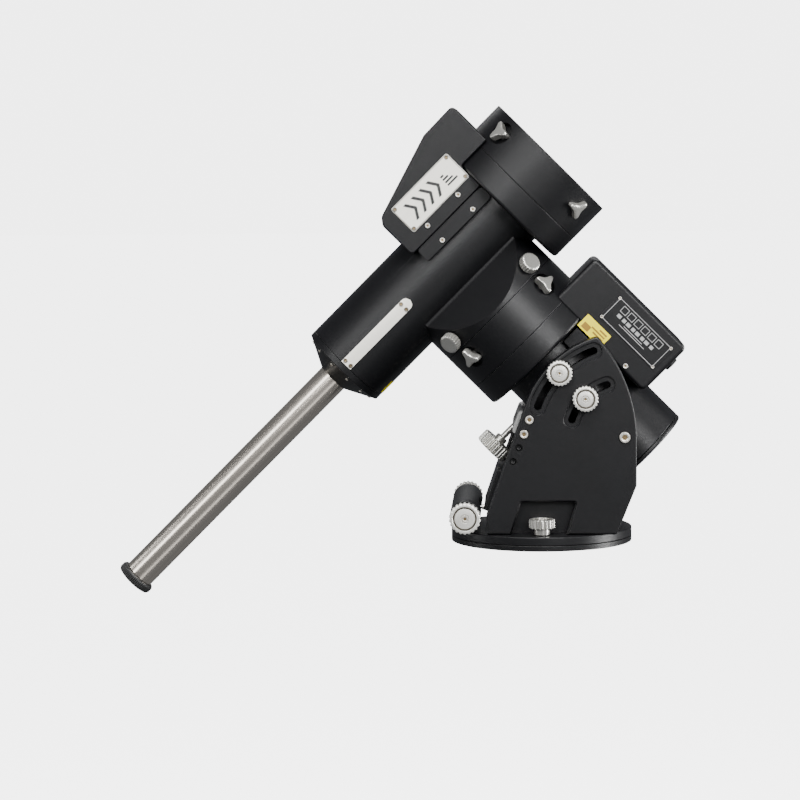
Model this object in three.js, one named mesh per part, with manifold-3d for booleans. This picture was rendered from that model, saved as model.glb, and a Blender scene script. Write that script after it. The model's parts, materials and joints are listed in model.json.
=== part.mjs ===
// German equatorial telescope mount: base, altitude cheeks, polar axis, declination axis and counterweight bar.
// Millimetres, +Z up. The origin is the centre of the underside of the base plate, on the azimuth axis.
// The polar axis leans towards -X, and the cheeks' outer faces look towards -Y and +Y.
import * as THREE from "three";
import { mergeVertices } from "three/addons/utils/BufferGeometryUtils.js";
import Module from "manifold-3d";

// ---------- Driving dimensions ----------
const GAP = 0.3; // between two pieces that touch
const RUN = 0.6; // between two pieces that turn past each other
const BITE = 2; // how far a cutting tool runs past the face that it opens

// Base and azimuth axis
const BASE_RADIUS = 116.5;
const BASE_THICK = 7;
const TURNTABLE_TOP = 18;
const SPINDLE_RADIUS = 25;
const AZIMUTH_HALF_SWING = THREE.MathUtils.degToRad(7.5);
const BOLT_CIRCLE = 70; // radius of the pier bolts' circle, and of the saddle's
const BOLT_RADIUS = 4;
const BOLT_DEPTH = 5;
const BLIND_FLOOR = 2; // what is left of the base plate under the post and the lock studs

// Azimuth push screws, which squeeze a fixed post from both sides
const PUSH_X = -97;
const PUSH_Z = 42;
const POST_RADIUS = 8;
const POST_HEIGHT = 50;
const PUSH_KNOB_RADIUS = 20;
const PUSH_KNOB_THICK = 13;
const PUSH_KNOB_FACE = 119; // outer face, from the middle plane
const PUSH_BLOCK_RADIUS = 19.5;
const PUSH_BLOCK_HALF = 88;
const PUSH_FOOT = { x: [-2, 14], y: [26, 60], rise: 10 }; // from the block's axis
const PUSH_GAP_HALF = 23; // room round the post
const PUSH_SCREW = { collar: 9, collarThick: 3, screw: 4 };

// Azimuth lock knobs, in pockets of the cheeks
const LOCK_Y = 95;
const LOCK_RADIUS = 16.5;
const LOCK_TOP = 39;
const LOCK_SCREW = { thick: 12, collar: 10, collarThick: 8.4, screw: 4, screwLength: 15.5 };
const POCKET = [[30, 16], [44, 60], [-26, 60], [-39.5, 16]]; // outline in X and Z
const POCKET_FLOOR = 76;

// Cheeks and the altitude axis
const CHEEK_OUT = 92;
const CHEEK_IN = 70;
const PIVOT = new THREE.Vector2(104.6, 141.8);
const LATITUDE = Math.PI / 4;
const CHEEK_BEVEL = 2.5;
const CHEEK_FOOT = [[-69.4, 18.3], [94.6, 18.3]]; // front and back corners of its outline, then upwards
const CHEEK_KNEES = [[-70, 43.8], [119.7, 80.2]];
const CHEEK_SHOULDER = new THREE.Vector2(-19.9, 190.7);
const CHEEK_TIP = new THREE.Vector2(71.7, 268.7);
const CHEEK_CROWN = new THREE.Vector2(-75.1, 139.2); // centre of the arc that forms its back edge
const CHEEK_BACK_RADIUS = 195;
const CHEEK_TOP_RADIUS = 131.6; // about the pivot
const SLOT_RADII = [116, 70]; // two curved slots about the pivot
const SLOT_HALF_WIDTH = 4.8;
const SLOT_HALF_ANGLE = THREE.MathUtils.degToRad(25.4);
const SLOT_RECESS = 3;
const RECESS_HALF_WIDTH = 10.2;
const PIVOT_BOLT = { radius: 4, head: 6.5, headThick: 5, grip: 17 }; // its grip is its reach inside the cheek
const STUD_RADIUS = 4;
const BOSS_RADIUS = 17;
const CLAMP_RADIUS = 16.25;
const CLAMP_THICK = 13;
const CLAMP_STAND = 1.5; // from the cheek to the knob's inner face
const CLAMP_SCREW = { collar: 8.5, collarThick: 4, screw: 4, screwLength: 33 };

// Altitude screw, through a bar between the cheeks
const SCREW_T = 103; // height of the screw up the polar axis from the pivot
const SCREW_RADIUS = 4;
const SCREW_TRAVEL = 41.5;
const ALTITUDE_KNOB_RADIUS = 22;
const ALTITUDE_KNOB_D = [-139, -122]; // its outer and inner faces, from the polar axis
const ALTITUDE_COLLAR = 7;
const ALTITUDE_COLLAR_RADIUS = 8;
const SCREW_CLEARANCE = 2.1; // from the screw's tip to the polar housing
const CROSSBAR_SECTION = { x: [-12, 9], z: [-15, 15], corner: 5 };
const CROSSBAR = new THREE.Vector2(-18.9, 155.3);
const CROSSBAR_LEAN = THREE.MathUtils.degToRad(20.7); // from upright, along the cheek's sloping edge

// Polar axis: heights T are measured up the axis from the altitude pivot
const POLAR_RADIUS = 64;
const POLAR_BORE = 36;
const RING_RADIUS = 92;
const CAP_T = [-41, -35];
const WHEEL_T = [142, 175];
const CLUTCH_T = [175, 224.7];
const FLANGE_T = [224.7, 254];
const SHAFT_RADIUS = 27;
const SHAFT_BORE = 18;
const SHAFT_FLANGE = 50;
const WHEEL_RADIUS = 78;
const CLUTCH_KNOB_T = 207;
const THUMB_KNOB_T = 239;

// Declination axis: distances D are measured from the polar axis towards the saddle
const DEC_T = 313.2;
const DEC_RADIUS = 59.2;
const DEC_BORE = 36;
const HEAD_RADIUS = 94;
const TUBE_D = [-187, 97];
const DEC_WHEEL_D = [97, 131];
const SADDLE_D = [131, 184.6];
const SADDLE_KNOB_D = 161.5;

// Counterweight bar
const BAR_RADIUS = 20;
const BAR_D = [-578, -214.7];
const STOP_D = [-590, -578];
const STOP_RADIUS = 25;

// Clutch and thumb knobs
const STAR_RADIUS = 14;
const STAR_SINK = 7; // depth of the round recess under a star knob
const STAR_WAIST = 6.2;
const STAR_TIP = 2.2; // radius of the end of an arm
const STAR_HEAD = [4, 14];
const THUMB_RADIUS = 12.85;
const THUMB_THICK = 11.5;
const THUMB_STAND = 2.5; // from the ring to the knob's inner face
const KNOB_STUD = 3;
const KNOB_STUD_LENGTH = 16;
const KNOB_ANGLES = [-135, -45, 45, 135].map(THREE.MathUtils.degToRad); // about the axis, from -Y

// Drives
const BOX_WALL = 5;
const WINDOW = { y: [-50, 58], depth: 72 }; // room in a housing for the worm and its belt, outwards from the axis
const MOTOR = { half: 24, corner: 5, y: [-40, 26] };
const SPINDLE = 4; // radius of a motor's and a worm's spindle
const PULLEY_Y = [44, 53];
const BELT_Y = [45, 52];
const BELT_THICK = 1.4;
const PULLEY_RADIUS = 13;
const WORM_RADIUS = 10;

// Facets round a full circle
const FINE = 30;
const MEDIUM = 18;
const COARSE = 10;
const ROUGH = 8;

// ---------- Solids: three.js geometries, joined and cut by manifold-3d ----------
const wasm = await Module();
wasm.setup();

// A closed geometry as a manifold-3d solid. What a boolean made has no normals and is already welded.
function solidOf(geometry) {
  let welded = geometry;
  if (geometry.hasAttribute("normal")) {
    const bare = geometry.clone();
    bare.deleteAttribute("normal");
    bare.deleteAttribute("uv");
    welded = mergeVertices(bare);
  }
  const vertProperties = new Float32Array(welded.attributes.position.array);
  const triVerts = new Uint32Array(welded.index.array);
  return new wasm.Manifold(new wasm.Mesh({ numProp: 3, vertProperties, triVerts }));
}

function geometryOf(solid) {
  const made = solid.getMesh();
  return new THREE.BufferGeometry()
    .setAttribute("position", new THREE.BufferAttribute(new Float32Array(made.vertProperties), 3))
    .setIndex(new THREE.BufferAttribute(new Uint32Array(made.triVerts), 1));
}

function join(...geometries) {
  return geometryOf(geometries.map(solidOf).reduce((whole, next) => whole.add(next)));
}

function cut(body, ...tools) {
  return geometryOf(tools.map(solidOf).reduce((left, tool) => left.subtract(tool), solidOf(body)));
}

// A profile of [radius, z] points turned about Z. The points run anticlockwise, from axis to axis
// for a full solid, or back to the first point for a ring.
function turned(profile, facets = FINE) {
  const points = profile.map(([radius, z]) => new THREE.Vector2(radius, z));
  return new THREE.LatheGeometry(points, facets).rotateX(Math.PI / 2);
}

function rod(radius, z0, z1, facets = COARSE) {
  return turned([[0, z0], [radius, z0], [radius, z1], [0, z1]], facets);
}

function ring(inner, outer, z0, z1, facets = FINE) {
  return turned([[inner, z0], [outer, z0], [outer, z1], [inner, z1], [inner, z0]], facets);
}

function block([x0, x1], [y0, y1], [z0, z1]) {
  return new THREE.BoxGeometry(x1 - x0, y1 - y0, z1 - z0).translate((x0 + x1) / 2, (y0 + y1) / 2, (z0 + z1) / 2);
}

// An outline drawn in X and Z, as thick as the span of Y. A bevel narrows it inside that outline.
function slab(outline, [y0, y1], bevel = 0, facets = 12) {
  const options = {
    depth: y1 - y0 - 2 * bevel,
    curveSegments: facets,
    bevelEnabled: bevel > 0,
    bevelThickness: bevel,
    bevelSize: bevel,
    bevelOffset: -bevel,
    bevelSegments: 1,
  };
  return new THREE.ExtrudeGeometry(outline, options).rotateX(Math.PI / 2).translate(0, y1 - bevel, 0);
}

function polygon(...points) {
  return new THREE.Shape(points.map(([x, z]) => new THREE.Vector2(x, z)));
}

function roundedRectangle([x0, x1], [z0, z1], radius) {
  const outline = new THREE.Shape();
  outline.absarc(x1 - radius, z0 + radius, radius, -Math.PI / 2, 0);
  outline.absarc(x1 - radius, z1 - radius, radius, 0, Math.PI / 2);
  outline.absarc(x0 + radius, z1 - radius, radius, Math.PI / 2, Math.PI);
  outline.absarc(x0 + radius, z0 + radius, radius, Math.PI, 1.5 * Math.PI);
  return outline;
}

// The outline of a slot with round ends, curved about a centre from one angle to another.
function curvedSlot(centre, radius, halfWidth, from, to) {
  const end = (angle) => [centre.x + radius * Math.cos(angle), centre.y + radius * Math.sin(angle)];
  const outline = new THREE.Shape();
  outline.absarc(centre.x, centre.y, radius + halfWidth, from, to);
  outline.absarc(...end(to), halfWidth, to, to + Math.PI);
  outline.absarc(centre.x, centre.y, radius - halfWidth, to, from, true);
  outline.absarc(...end(from), halfWidth, from - Math.PI, from);
  return outline;
}

// The circumradius of a bore of flat facets that a round pin can turn in.
function boreFor(radius, facets, gap = GAP) {
  return (radius + gap) / Math.cos(Math.PI / facets);
}

// Two distances out to one side, -1 or 1, in rising order.
function spanOf(side, [near, far]) {
  return side > 0 ? [near, far] : [-far, -near];
}

// A rod along Y, from y0 to y1.
function crossRod(radius, [y0, y1], [x, z], facets = COARSE) {
  return rod(radius, y0, y1, facets).rotateX(-Math.PI / 2).translate(x, 0, z);
}

// Turns a piece that is drawn standing on -Y's side, pointing out along Z, to an angle about the Z axis.
function outward(geometry, distance, angle, z) {
  return geometry.translate(0, 0, distance).rotateX(Math.PI / 2).rotateZ(angle).translate(0, 0, z);
}

// ---------- Materials and frames ----------
const finish = (color, roughness, metalness) => ({ color, roughness, metalness });
const BLACK = finish(0x17181b, 0.45, 0.35);
const ALUMINIUM = finish(0xc9c6be, 0.35, 0.9);
const STEEL = finish(0xb9b4aa, 0.28, 1);
const BRONZE = finish(0xa9793f, 0.4, 0.9);
const RUBBER = finish(0x141414, 0.8, 0);
const DARK_STEEL = finish(0x4a4b4f, 0.4, 0.9);

const mount = new THREE.Group();

// Local Z runs up the polar axis from the altitude pivot, and local X runs towards the saddle.
const polar = new THREE.Group();
polar.position.set(PIVOT.x, 0, PIVOT.y);
polar.rotation.y = -LATITUDE;
mount.add(polar);

// Local Z runs along the declination axis towards the saddle, and local X runs down the polar axis.
const declination = new THREE.Group();
declination.position.z = DEC_T;
declination.rotation.y = Math.PI / 2;
polar.add(declination);

function place(group, name, geometry, look) {
  const mesh = new THREE.Mesh(geometry, new THREE.MeshStandardMaterial(look));
  mesh.name = name;
  group.add(mesh);
}

// ---------- Base, azimuth axis ----------
function basePlate() {
  const bolts = [45, 135, 225, 315].map((angle) => {
    const bolt = rod(BOLT_RADIUS, -BITE, BOLT_DEPTH, ROUGH).translate(BOLT_CIRCLE, 0, 0);
    return bolt.rotateZ(THREE.MathUtils.degToRad(angle));
  });
  const plate = turned([
    [0, 0], [BASE_RADIUS - 1, 0], [BASE_RADIUS, 1], [BASE_RADIUS, BASE_THICK],
    [SPINDLE_RADIUS, BASE_THICK], [SPINDLE_RADIUS, TURNTABLE_TOP], [0, TURNTABLE_TOP],
  ]);
  const hole = (radius, facets) => rod(boreFor(radius, facets), BLIND_FLOOR, TURNTABLE_TOP + BITE, facets);
  const studHoles = [-1, 1].map((side) => hole(STUD_RADIUS, ROUGH).translate(0, side * LOCK_Y, 0));
  const postHole = hole(POST_RADIUS, COARSE).translate(PUSH_X, 0, 0);
  return cut(plate, ...bolts, ...studHoles, postHole);
}

function azimuthPost() {
  return rod(POST_RADIUS, BLIND_FLOOR + GAP, POST_HEIGHT).translate(PUSH_X, 0, 0);
}

function turntable() {
  const outer = BASE_RADIUS;
  const low = BASE_THICK + GAP;
  const inner = SPINDLE_RADIUS + RUN;
  const disc = turned([
    [inner, low], [outer, low], [outer, TURNTABLE_TOP - 1], [outer - 1, TURNTABLE_TOP],
    [inner, TURNTABLE_TOP], [inner, low],
  ]);
  const reach = Math.abs(PUSH_X) * Math.sin(AZIMUTH_HALF_SWING) + POST_RADIUS + 1;
  const postWindow = block([PUSH_X - 9, PUSH_X + 11], [-reach, reach], [0, 30]);
  const slots = [-1, 1].map((side) => {
    const middle = (side * Math.PI) / 2;
    const swing = AZIMUTH_HALF_SWING + THREE.MathUtils.degToRad(0.5);
    const outline = curvedSlot(new THREE.Vector2(), LOCK_Y, STUD_RADIUS + 0.7, middle - swing, middle + swing);
    return new THREE.ExtrudeGeometry(outline, { depth: 30, curveSegments: 3, bevelEnabled: false });
  });
  return cut(disc, postWindow, ...slots);
}

function azimuthBlock() {
  const along = [-PUSH_BLOCK_HALF, PUSH_BLOCK_HALF];
  const barrel = crossRod(PUSH_BLOCK_RADIUS, along, [PUSH_X, PUSH_Z], 20);
  const feet = [-1, 1].map((side) => {
    const along = PUSH_FOOT.x.map((reach) => PUSH_X + reach);
    return block(along, spanOf(side, PUSH_FOOT.y), [TURNTABLE_TOP + GAP, PUSH_Z - PUSH_FOOT.rise]);
  });
  const gap = block([PUSH_X - 10, PUSH_X + 30], [-PUSH_GAP_HALF, PUSH_GAP_HALF], [0, POST_HEIGHT + BITE]);
  const bore = crossRod(boreFor(PUSH_SCREW.screw, ROUGH, RUN), [-100, 100], [PUSH_X, PUSH_Z], ROUGH);
  return cut(join(barrel, ...feet), gap, bore);
}

// A knurled knob that faces up Z, its face at zero and its rim a ring of flutes. Its collar and screw point down.
function flutedKnob({ radius, thick, collar, collarThick, screw, screwLength }) {
  const flutes = 10;
  const rim = Array.from({ length: 2 * flutes }, (_, index) => {
    const angle = (Math.PI * index) / flutes;
    const reach = index % 2 ? radius - 1.4 : radius;
    return new THREE.Vector2(reach * Math.cos(angle), reach * Math.sin(angle));
  });
  const options = { depth: thick, bevelEnabled: false };
  const head = new THREE.ExtrudeGeometry(new THREE.Shape(rim), options).translate(0, 0, -thick);
  const neck = rod(collar, -thick - collarThick, 0.5 - thick, COARSE);
  const thread = rod(screw, -thick - collarThick - screwLength, 0.5 - thick - collarThick, ROUGH);
  return join(head, neck, thread);
}

function pushScrew(side) {
  const rodEnd = PUSH_KNOB_FACE - POST_RADIUS - RUN;
  const screwLength = rodEnd - PUSH_KNOB_THICK - PUSH_SCREW.collarThick;
  const knob = flutedKnob({ radius: PUSH_KNOB_RADIUS, thick: PUSH_KNOB_THICK, screwLength, ...PUSH_SCREW });
  return knob.rotateX((side * -Math.PI) / 2).translate(PUSH_X, side * PUSH_KNOB_FACE, PUSH_Z);
}

function azimuthLock(side) {
  return flutedKnob({ radius: LOCK_RADIUS, ...LOCK_SCREW }).translate(0, side * LOCK_Y, LOCK_TOP);
}

// ---------- Cheeks and altitude axis ----------
function cheekOutline() {
  const [frontFoot, backFoot] = CHEEK_FOOT;
  const [frontKnee, backKnee] = CHEEK_KNEES;
  const bearing = (centre, point) => Math.atan2(point.y - centre.y, point.x - centre.x);
  const outline = new THREE.Shape();
  outline.moveTo(...backFoot);
  outline.lineTo(...backKnee);
  outline.absarc(CHEEK_CROWN.x, CHEEK_CROWN.y, CHEEK_BACK_RADIUS, 0, bearing(CHEEK_CROWN, CHEEK_TIP));
  const [from, to] = [bearing(PIVOT, CHEEK_TIP), bearing(PIVOT, CHEEK_SHOULDER)];
  outline.absarc(PIVOT.x, PIVOT.y, CHEEK_TOP_RADIUS, from, to);
  outline.lineTo(...frontKnee);
  outline.lineTo(...frontFoot);
  return outline;
}

function cheek(side) {
  const body = slab(cheekOutline(), spanOf(side, [CHEEK_IN, CHEEK_OUT]), CHEEK_BEVEL, 7);
  const middle = (3 * Math.PI) / 4;
  const slots = SLOT_RADII.flatMap((radius) => {
    const reach = radius === SLOT_RADII[0] ? SLOT_HALF_ANGLE : SLOT_HALF_ANGLE + THREE.MathUtils.degToRad(1);
    const through = curvedSlot(PIVOT, radius, SLOT_HALF_WIDTH, middle - reach, middle + reach);
    const recess = curvedSlot(PIVOT, radius, RECESS_HALF_WIDTH, middle - reach, middle + reach);
    return [
      slab(through, spanOf(side, [CHEEK_IN - BITE, CHEEK_OUT + BITE]), 0, 4),
      slab(recess, spanOf(side, [CHEEK_OUT - SLOT_RECESS, CHEEK_OUT + BITE]), 0, 4),
    ];
  });
  const pocket = slab(polygon(...POCKET), spanOf(side, [POCKET_FLOOR, CHEEK_OUT + BITE]));
  const through = spanOf(side, [CHEEK_IN - BITE, CHEEK_OUT + BITE]);
  const pivotHole = crossRod(boreFor(PIVOT_BOLT.radius, COARSE), through, [PIVOT.x, PIVOT.y], COARSE);
  return cut(body, ...slots, pocket, pivotHole);
}

function pivotBolt(side) {
  const head = rod(PIVOT_BOLT.head, CHEEK_OUT + GAP, CHEEK_OUT + PIVOT_BOLT.headThick, COARSE);
  const shank = rod(PIVOT_BOLT.radius, CHEEK_IN - PIVOT_BOLT.grip, CHEEK_OUT + 1, ROUGH);
  return join(head, shank).rotateX((side * -Math.PI) / 2).translate(PIVOT.x, 0, PIVOT.y);
}

// The bar leans with the cheeks' edge. Its middle leaves room for the altitude knob, its collar and the polar tube.
function altitudeCrossbar() {
  const reach = CHEEK_IN - GAP;
  const section = roundedRectangle(CROSSBAR_SECTION.x, CROSSBAR_SECTION.z, CROSSBAR_SECTION.corner);
  const bar = slab(section, [-reach, reach], 0, 3)
    .rotateY(CROSSBAR_LEAN)
    .translate(CROSSBAR.x - PIVOT.x, 0, CROSSBAR.y - PIVOT.y)
    .rotateY(LATITUDE);
  const knobStop = ALTITUDE_KNOB_D[1] + SCREW_TRAVEL + RUN;
  const room = (radius, from, to, facets) => {
    return rod(radius, from, to, facets).rotateY(Math.PI / 2).translate(0, 0, SCREW_T);
  };
  const knobRoom = room(ALTITUDE_KNOB_RADIUS + 2, knobStop - 60, knobStop, MEDIUM);
  const collarRoom = room(ALTITUDE_COLLAR_RADIUS + 1, knobStop - 1, knobStop + ALTITUDE_COLLAR, COARSE);
  const bore = room(boreFor(SCREW_RADIUS, COARSE), knobStop - 60, 0, COARSE);
  const tubeRoom = rod(POLAR_RADIUS + 2, 0, 200, FINE);
  return cut(bar, knobRoom, collarRoom, bore, tubeRoom);
}

function altitudeScrew() {
  const [face, back] = ALTITUDE_KNOB_D;
  const tip = -POLAR_RADIUS - SCREW_CLEARANCE;
  const knob = flutedKnob({
    radius: ALTITUDE_KNOB_RADIUS, thick: back - face, collar: ALTITUDE_COLLAR_RADIUS, collarThick: ALTITUDE_COLLAR,
    screw: SCREW_RADIUS, screwLength: tip - back - ALTITUDE_COLLAR,
  });
  return knob.rotateY(-Math.PI / 2).translate(face, 0, SCREW_T);
}

function altitudeClamp(side, radius) {
  const knob = flutedKnob({ radius: CLAMP_RADIUS, thick: CLAMP_THICK, ...CLAMP_SCREW });
  const face = CHEEK_OUT + CLAMP_STAND + CLAMP_THICK;
  return knob.rotateX((side * -Math.PI) / 2).translate(0, side * face, radius);
}

// ---------- Polar axis ----------
const BOX_D = [55.6, 134.8];
const BOX_T = [22.6, 187.8];
const BOX_HALF = 66;
const RA_MOTOR = { d: 96, t: 78 };
const RA_WORM = { d: WHEEL_RADIUS + WORM_RADIUS + GAP, t: (WHEEL_T[0] + WHEEL_T[1]) / 2 };
const NAMEPLATE = { d: [84.5, 122.1], t: [33.2, 129.4], corner: 2, thick: 1.2 };

// A housing tube with threaded bosses at the pivot and at the clamps, which fill the room to the cheeks.
function polarHousing() {
  const tube = ring(POLAR_BORE, POLAR_RADIUS, CAP_T[1] + GAP, WHEEL_T[0] - GAP);
  const reach = [-CHEEK_IN + 1, CHEEK_IN - 1];
  const bosses = [0, ...SLOT_RADII].map((height) => crossRod(BOSS_RADIUS, reach, [0, height], 12));
  const clear = rod(POLAR_BORE, -100, 200, FINE);
  const bore = boreFor(STUD_RADIUS, ROUGH);
  const holes = [0, ...SLOT_RADII].map((height) => crossRod(bore, [-99, 99], [0, height], ROUGH));
  return cut(join(tube, ...bosses), clear, ...holes);
}

function polarEndCap() {
  const rim = POLAR_RADIUS;
  return turned([[0, CAP_T[0]], [rim - 3, CAP_T[0]], [rim, CAP_T[0] + 3], [rim, CAP_T[1]], [0, CAP_T[1]]]);
}

// The cup round a worm wheel, open above and on the worm's side. The worm lies out along X, or along -X.
function wheelCup([low, high], radius, bore, wormSide) {
  const top = high - RUN;
  const corner = 4;
  const wall = WHEEL_RADIUS + 3;
  const floor = low + 8;
  const cup = turned([
    [bore, low], [radius - corner, low], [radius, low + corner], [radius, top],
    [wall, top], [wall, floor], [bore, floor], [bore, low],
  ]);
  return cut(cup, block(spanOf(wormSide, [WINDOW.depth, 130]), WINDOW.y, [low - BITE, high + BITE]));
}

function raDriveBox() {
  const outline = roundedRectangle(BOX_D, BOX_T, 8);
  const shell = slab(outline, [-BOX_HALF, BOX_HALF], 5, 3);
  const inner = [-BOX_HALF + BOX_WALL, BOX_HALF - BOX_WALL];
  const hollow = block([40, BOX_D[1] - BOX_WALL], inner, [BOX_T[0] + BOX_WALL, WHEEL_T[1] - RUN]);
  const tube = rod(POLAR_RADIUS + GAP, 0, 250, FINE);
  const rings = rod(RING_RADIUS + 1, WHEEL_T[0] - GAP, 250, FINE);
  return cut(shell, hollow, tube, rings);
}

function motor({ d, t }) {
  const { half, corner, y } = MOTOR;
  const can = slab(roundedRectangle([d - half, d + half], [t - half, t + half], corner), y, 0, 2);
  const spindle = crossRod(SPINDLE, [y[1] - 1, PULLEY_Y[1] + 1], [d, t], ROUGH);
  return join(can, spindle, crossRod(PULLEY_RADIUS, PULLEY_Y, [d, t], 12));
}

function worm({ d, t }) {
  const thread = crossRod(WORM_RADIUS, [-30, 30], [d, t], 12);
  const spindle = crossRod(SPINDLE, [-38, PULLEY_Y[1] + 1], [d, t], ROUGH);
  return join(thread, spindle, crossRod(PULLEY_RADIUS, PULLEY_Y, [d, t], 12));
}

// A flat loop round two pulleys of one size, side by side along the second axis of the group.
function belt(from, to) {
  const loop = (radius) => {
    const lean = Math.atan2(to.t - from.t, to.d - from.d);
    const outline = new THREE.Shape();
    outline.absarc(from.d, from.t, radius, lean + Math.PI / 2, lean + 1.5 * Math.PI);
    outline.absarc(to.d, to.t, radius, lean - Math.PI / 2, lean + Math.PI / 2);
    return outline;
  };
  const inner = PULLEY_RADIUS + GAP;
  const through = [BELT_Y[0] - BITE, BELT_Y[1] + BITE];
  return cut(slab(loop(inner + BELT_THICK), BELT_Y, 0, 8), slab(loop(inner), through, 0, 8));
}

function nameplate() {
  const outline = roundedRectangle(NAMEPLATE.d, NAMEPLATE.t, NAMEPLATE.corner);
  const back = -BOX_HALF - GAP;
  return slab(outline, [back - NAMEPLATE.thick, back], 0, 2);
}

function bearing(z0, z1, bore) {
  return ring(boreFor(SHAFT_RADIUS, MEDIUM), bore - GAP, z0, z1, MEDIUM);
}

// A wheel with a hub, a thin web and a thick rim.
function wormWheel([low, high]) {
  const [bottom, top] = [low + 10, high - 2];
  const [webLow, webHigh] = [bottom + 6, top - 6];
  const bore = boreFor(SHAFT_RADIUS, MEDIUM);
  const hub = SHAFT_RADIUS + 12;
  const rim = WHEEL_RADIUS - 12;
  return turned([
    [bore, bottom], [hub, bottom], [hub, webLow], [rim, webLow], [rim, bottom], [WHEEL_RADIUS, bottom],
    [WHEEL_RADIUS, top], [rim, top], [rim, webHigh], [hub, webHigh], [hub, top], [bore, top], [bore, bottom],
  ], MEDIUM);
}

// A hollow shaft that ends in the flange that carries the clutch ring.
function flangedShaft(low, flange, top) {
  return turned([
    [SHAFT_BORE, low], [SHAFT_RADIUS, low], [SHAFT_RADIUS, flange], [SHAFT_FLANGE, flange],
    [SHAFT_FLANGE, top], [SHAFT_BORE, top], [SHAFT_BORE, low],
  ], MEDIUM);
}

// A round recess for a star knob, with a hole for its stud, as tools to cut from a ring.
function starRecess(ringRadius, angle, z) {
  const recess = outward(rod(STAR_RADIUS + 1.5, 0, 40, 12), ringRadius - STAR_SINK, angle, z);
  const hole = outward(rod(boreFor(KNOB_STUD, ROUGH), -30, 10, ROUGH), ringRadius - STAR_SINK, angle, z);
  return [recess, hole];
}

function clutchRing() {
  const low = CLUTCH_T[0];
  const high = CLUTCH_T[1] - GAP;
  const body = ring(SHAFT_FLANGE + GAP, RING_RADIUS, low, high);
  return cut(body, ...KNOB_ANGLES.flatMap((angle) => starRecess(RING_RADIUS, angle, CLUTCH_KNOB_T)));
}

// A knob of three arms on a stud, pointing out along Z from the floor of its recess.
function starKnob() {
  const star = new THREE.Shape();
  for (const index of [0, 1, 2]) {
    const arm = (2 * Math.PI * index) / 3 + Math.PI / 2;
    const reach = STAR_RADIUS - STAR_TIP;
    star.absarc(reach * Math.cos(arm), reach * Math.sin(arm), STAR_TIP, arm - 1, arm + 1);
    const waist = arm + Math.PI / 3;
    star.lineTo(STAR_WAIST * Math.cos(waist), STAR_WAIST * Math.sin(waist));
  }
  const [low, high] = STAR_HEAD;
  const options = { depth: high - low, curveSegments: 2, bevelEnabled: false };
  const head = new THREE.ExtrudeGeometry(star, options).translate(0, 0, low);
  return join(head, rod(STAR_WAIST - 1, GAP, low + 1, COARSE), rod(KNOB_STUD, -KNOB_STUD_LENGTH, low, ROUGH));
}

function thumbKnob() {
  const knob = flutedKnob({
    radius: THUMB_RADIUS, thick: THUMB_THICK, collar: 8, collarThick: 1.5,
    screw: KNOB_STUD, screwLength: KNOB_STUD_LENGTH,
  });
  return knob.translate(0, 0, THUMB_THICK + THUMB_STAND);
}

// ---------- Declination axis ----------
const DEC_BOX_HALF = 64;
const DEC_MOTOR = { d: 62, t: 397 };
const DEC_WORM = { d: (DEC_WHEEL_D[0] + DEC_WHEEL_D[1]) / 2, t: DEC_T + WHEEL_RADIUS + WORM_RADIUS + GAP };
const PAD_T = [332, 350.7]; // the drive pads, from the polar pivot
const FLAT_TOP = [47, 274]; // each flat runs between these two, as distance from the middle plane and T
const FLAT_FOOT = [92, 229];
const CONE_RIM = [54.4, -197.4]; // the cone's two ends, as radius and D
const CONE_NECK = [21.6, BAR_D[1]];
const TENON_RADIUS = BAR_RADIUS - 6;
const TENON_PLUG = 4.8; // how far the cone's plug goes into the tube
const DEC_BOX = {
  step: 97.7, // D of the step over the wheel housing
  foot: 351.5, // T of its lower edge
  stepTop: 386.4,
  end: 143,
  top: 448,
  corner: 6,
};
const FACE_THICK = 6;

// Flange, neck, tube and drive pads of one casting. Two flat faces blend the round flange into the tube.
function decHousing() {
  const [low] = FLANGE_T;
  const flange = rod(RING_RADIUS, low, DEC_T, FINE);
  const far = RING_RADIUS + 60;
  const trims = [-1, 1].map((side) => {
    const outline = [[far, FLAT_FOOT[1]], FLAT_FOOT, FLAT_TOP, [FLAT_TOP[0], far + DEC_T], [far, far + DEC_T]];
    const wedge = polygon(...outline.map(([reach, t]) => [side * reach, t]));
    return slab(wedge, [-150, 150]).rotateZ(Math.PI / 2);
  });
  const end = block([DEC_WHEEL_D[0] - 5, 200], [-100, 100], [low - 50, DEC_T + 100]);
  const tube = rod(DEC_RADIUS, TUBE_D[0] + GAP, TUBE_D[1] - GAP, FINE).rotateY(Math.PI / 2).translate(0, 0, DEC_T);
  const bore = rod(DEC_BORE, -400, 400, MEDIUM).rotateY(Math.PI / 2).translate(0, 0, DEC_T);
  const neckBore = rod(SHAFT_RADIUS + 4, 0, DEC_T, MEDIUM);
  const studs = KNOB_ANGLES.map((angle) => {
    return outward(rod(boreFor(KNOB_STUD, ROUGH), -20, 10, ROUGH), RING_RADIUS, angle, THUMB_KNOB_T);
  });
  const padHalf = DEC_BOX_HALF - 2;
  const pads = slab(roundedRectangle([-18, DEC_WHEEL_D[0] - 1], PAD_T, 4), [-padHalf, padHalf], 0, 3);
  return cut(join(cut(flange, ...trims, end), tube, pads), bore, neckBore, ...studs);
}

// The cone that closes the tube's lower end, with a short plug in the tube and a hole for the bar's tenon.
function endCone() {
  const plug = DEC_BORE - 1;
  const plugEnd = TUBE_D[0] + TENON_PLUG;
  const hole = TENON_RADIUS;
  return turned([
    [hole, BAR_D[1]], CONE_NECK, CONE_RIM, [DEC_RADIUS - 1, CONE_RIM[1] + 2.4], [DEC_RADIUS, CONE_RIM[1] + 3.4],
    [DEC_RADIUS, TUBE_D[0]], [plug, TUBE_D[0]], [plug, plugEnd], [hole, plugEnd], [hole, BAR_D[1]],
  ]);
}

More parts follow.
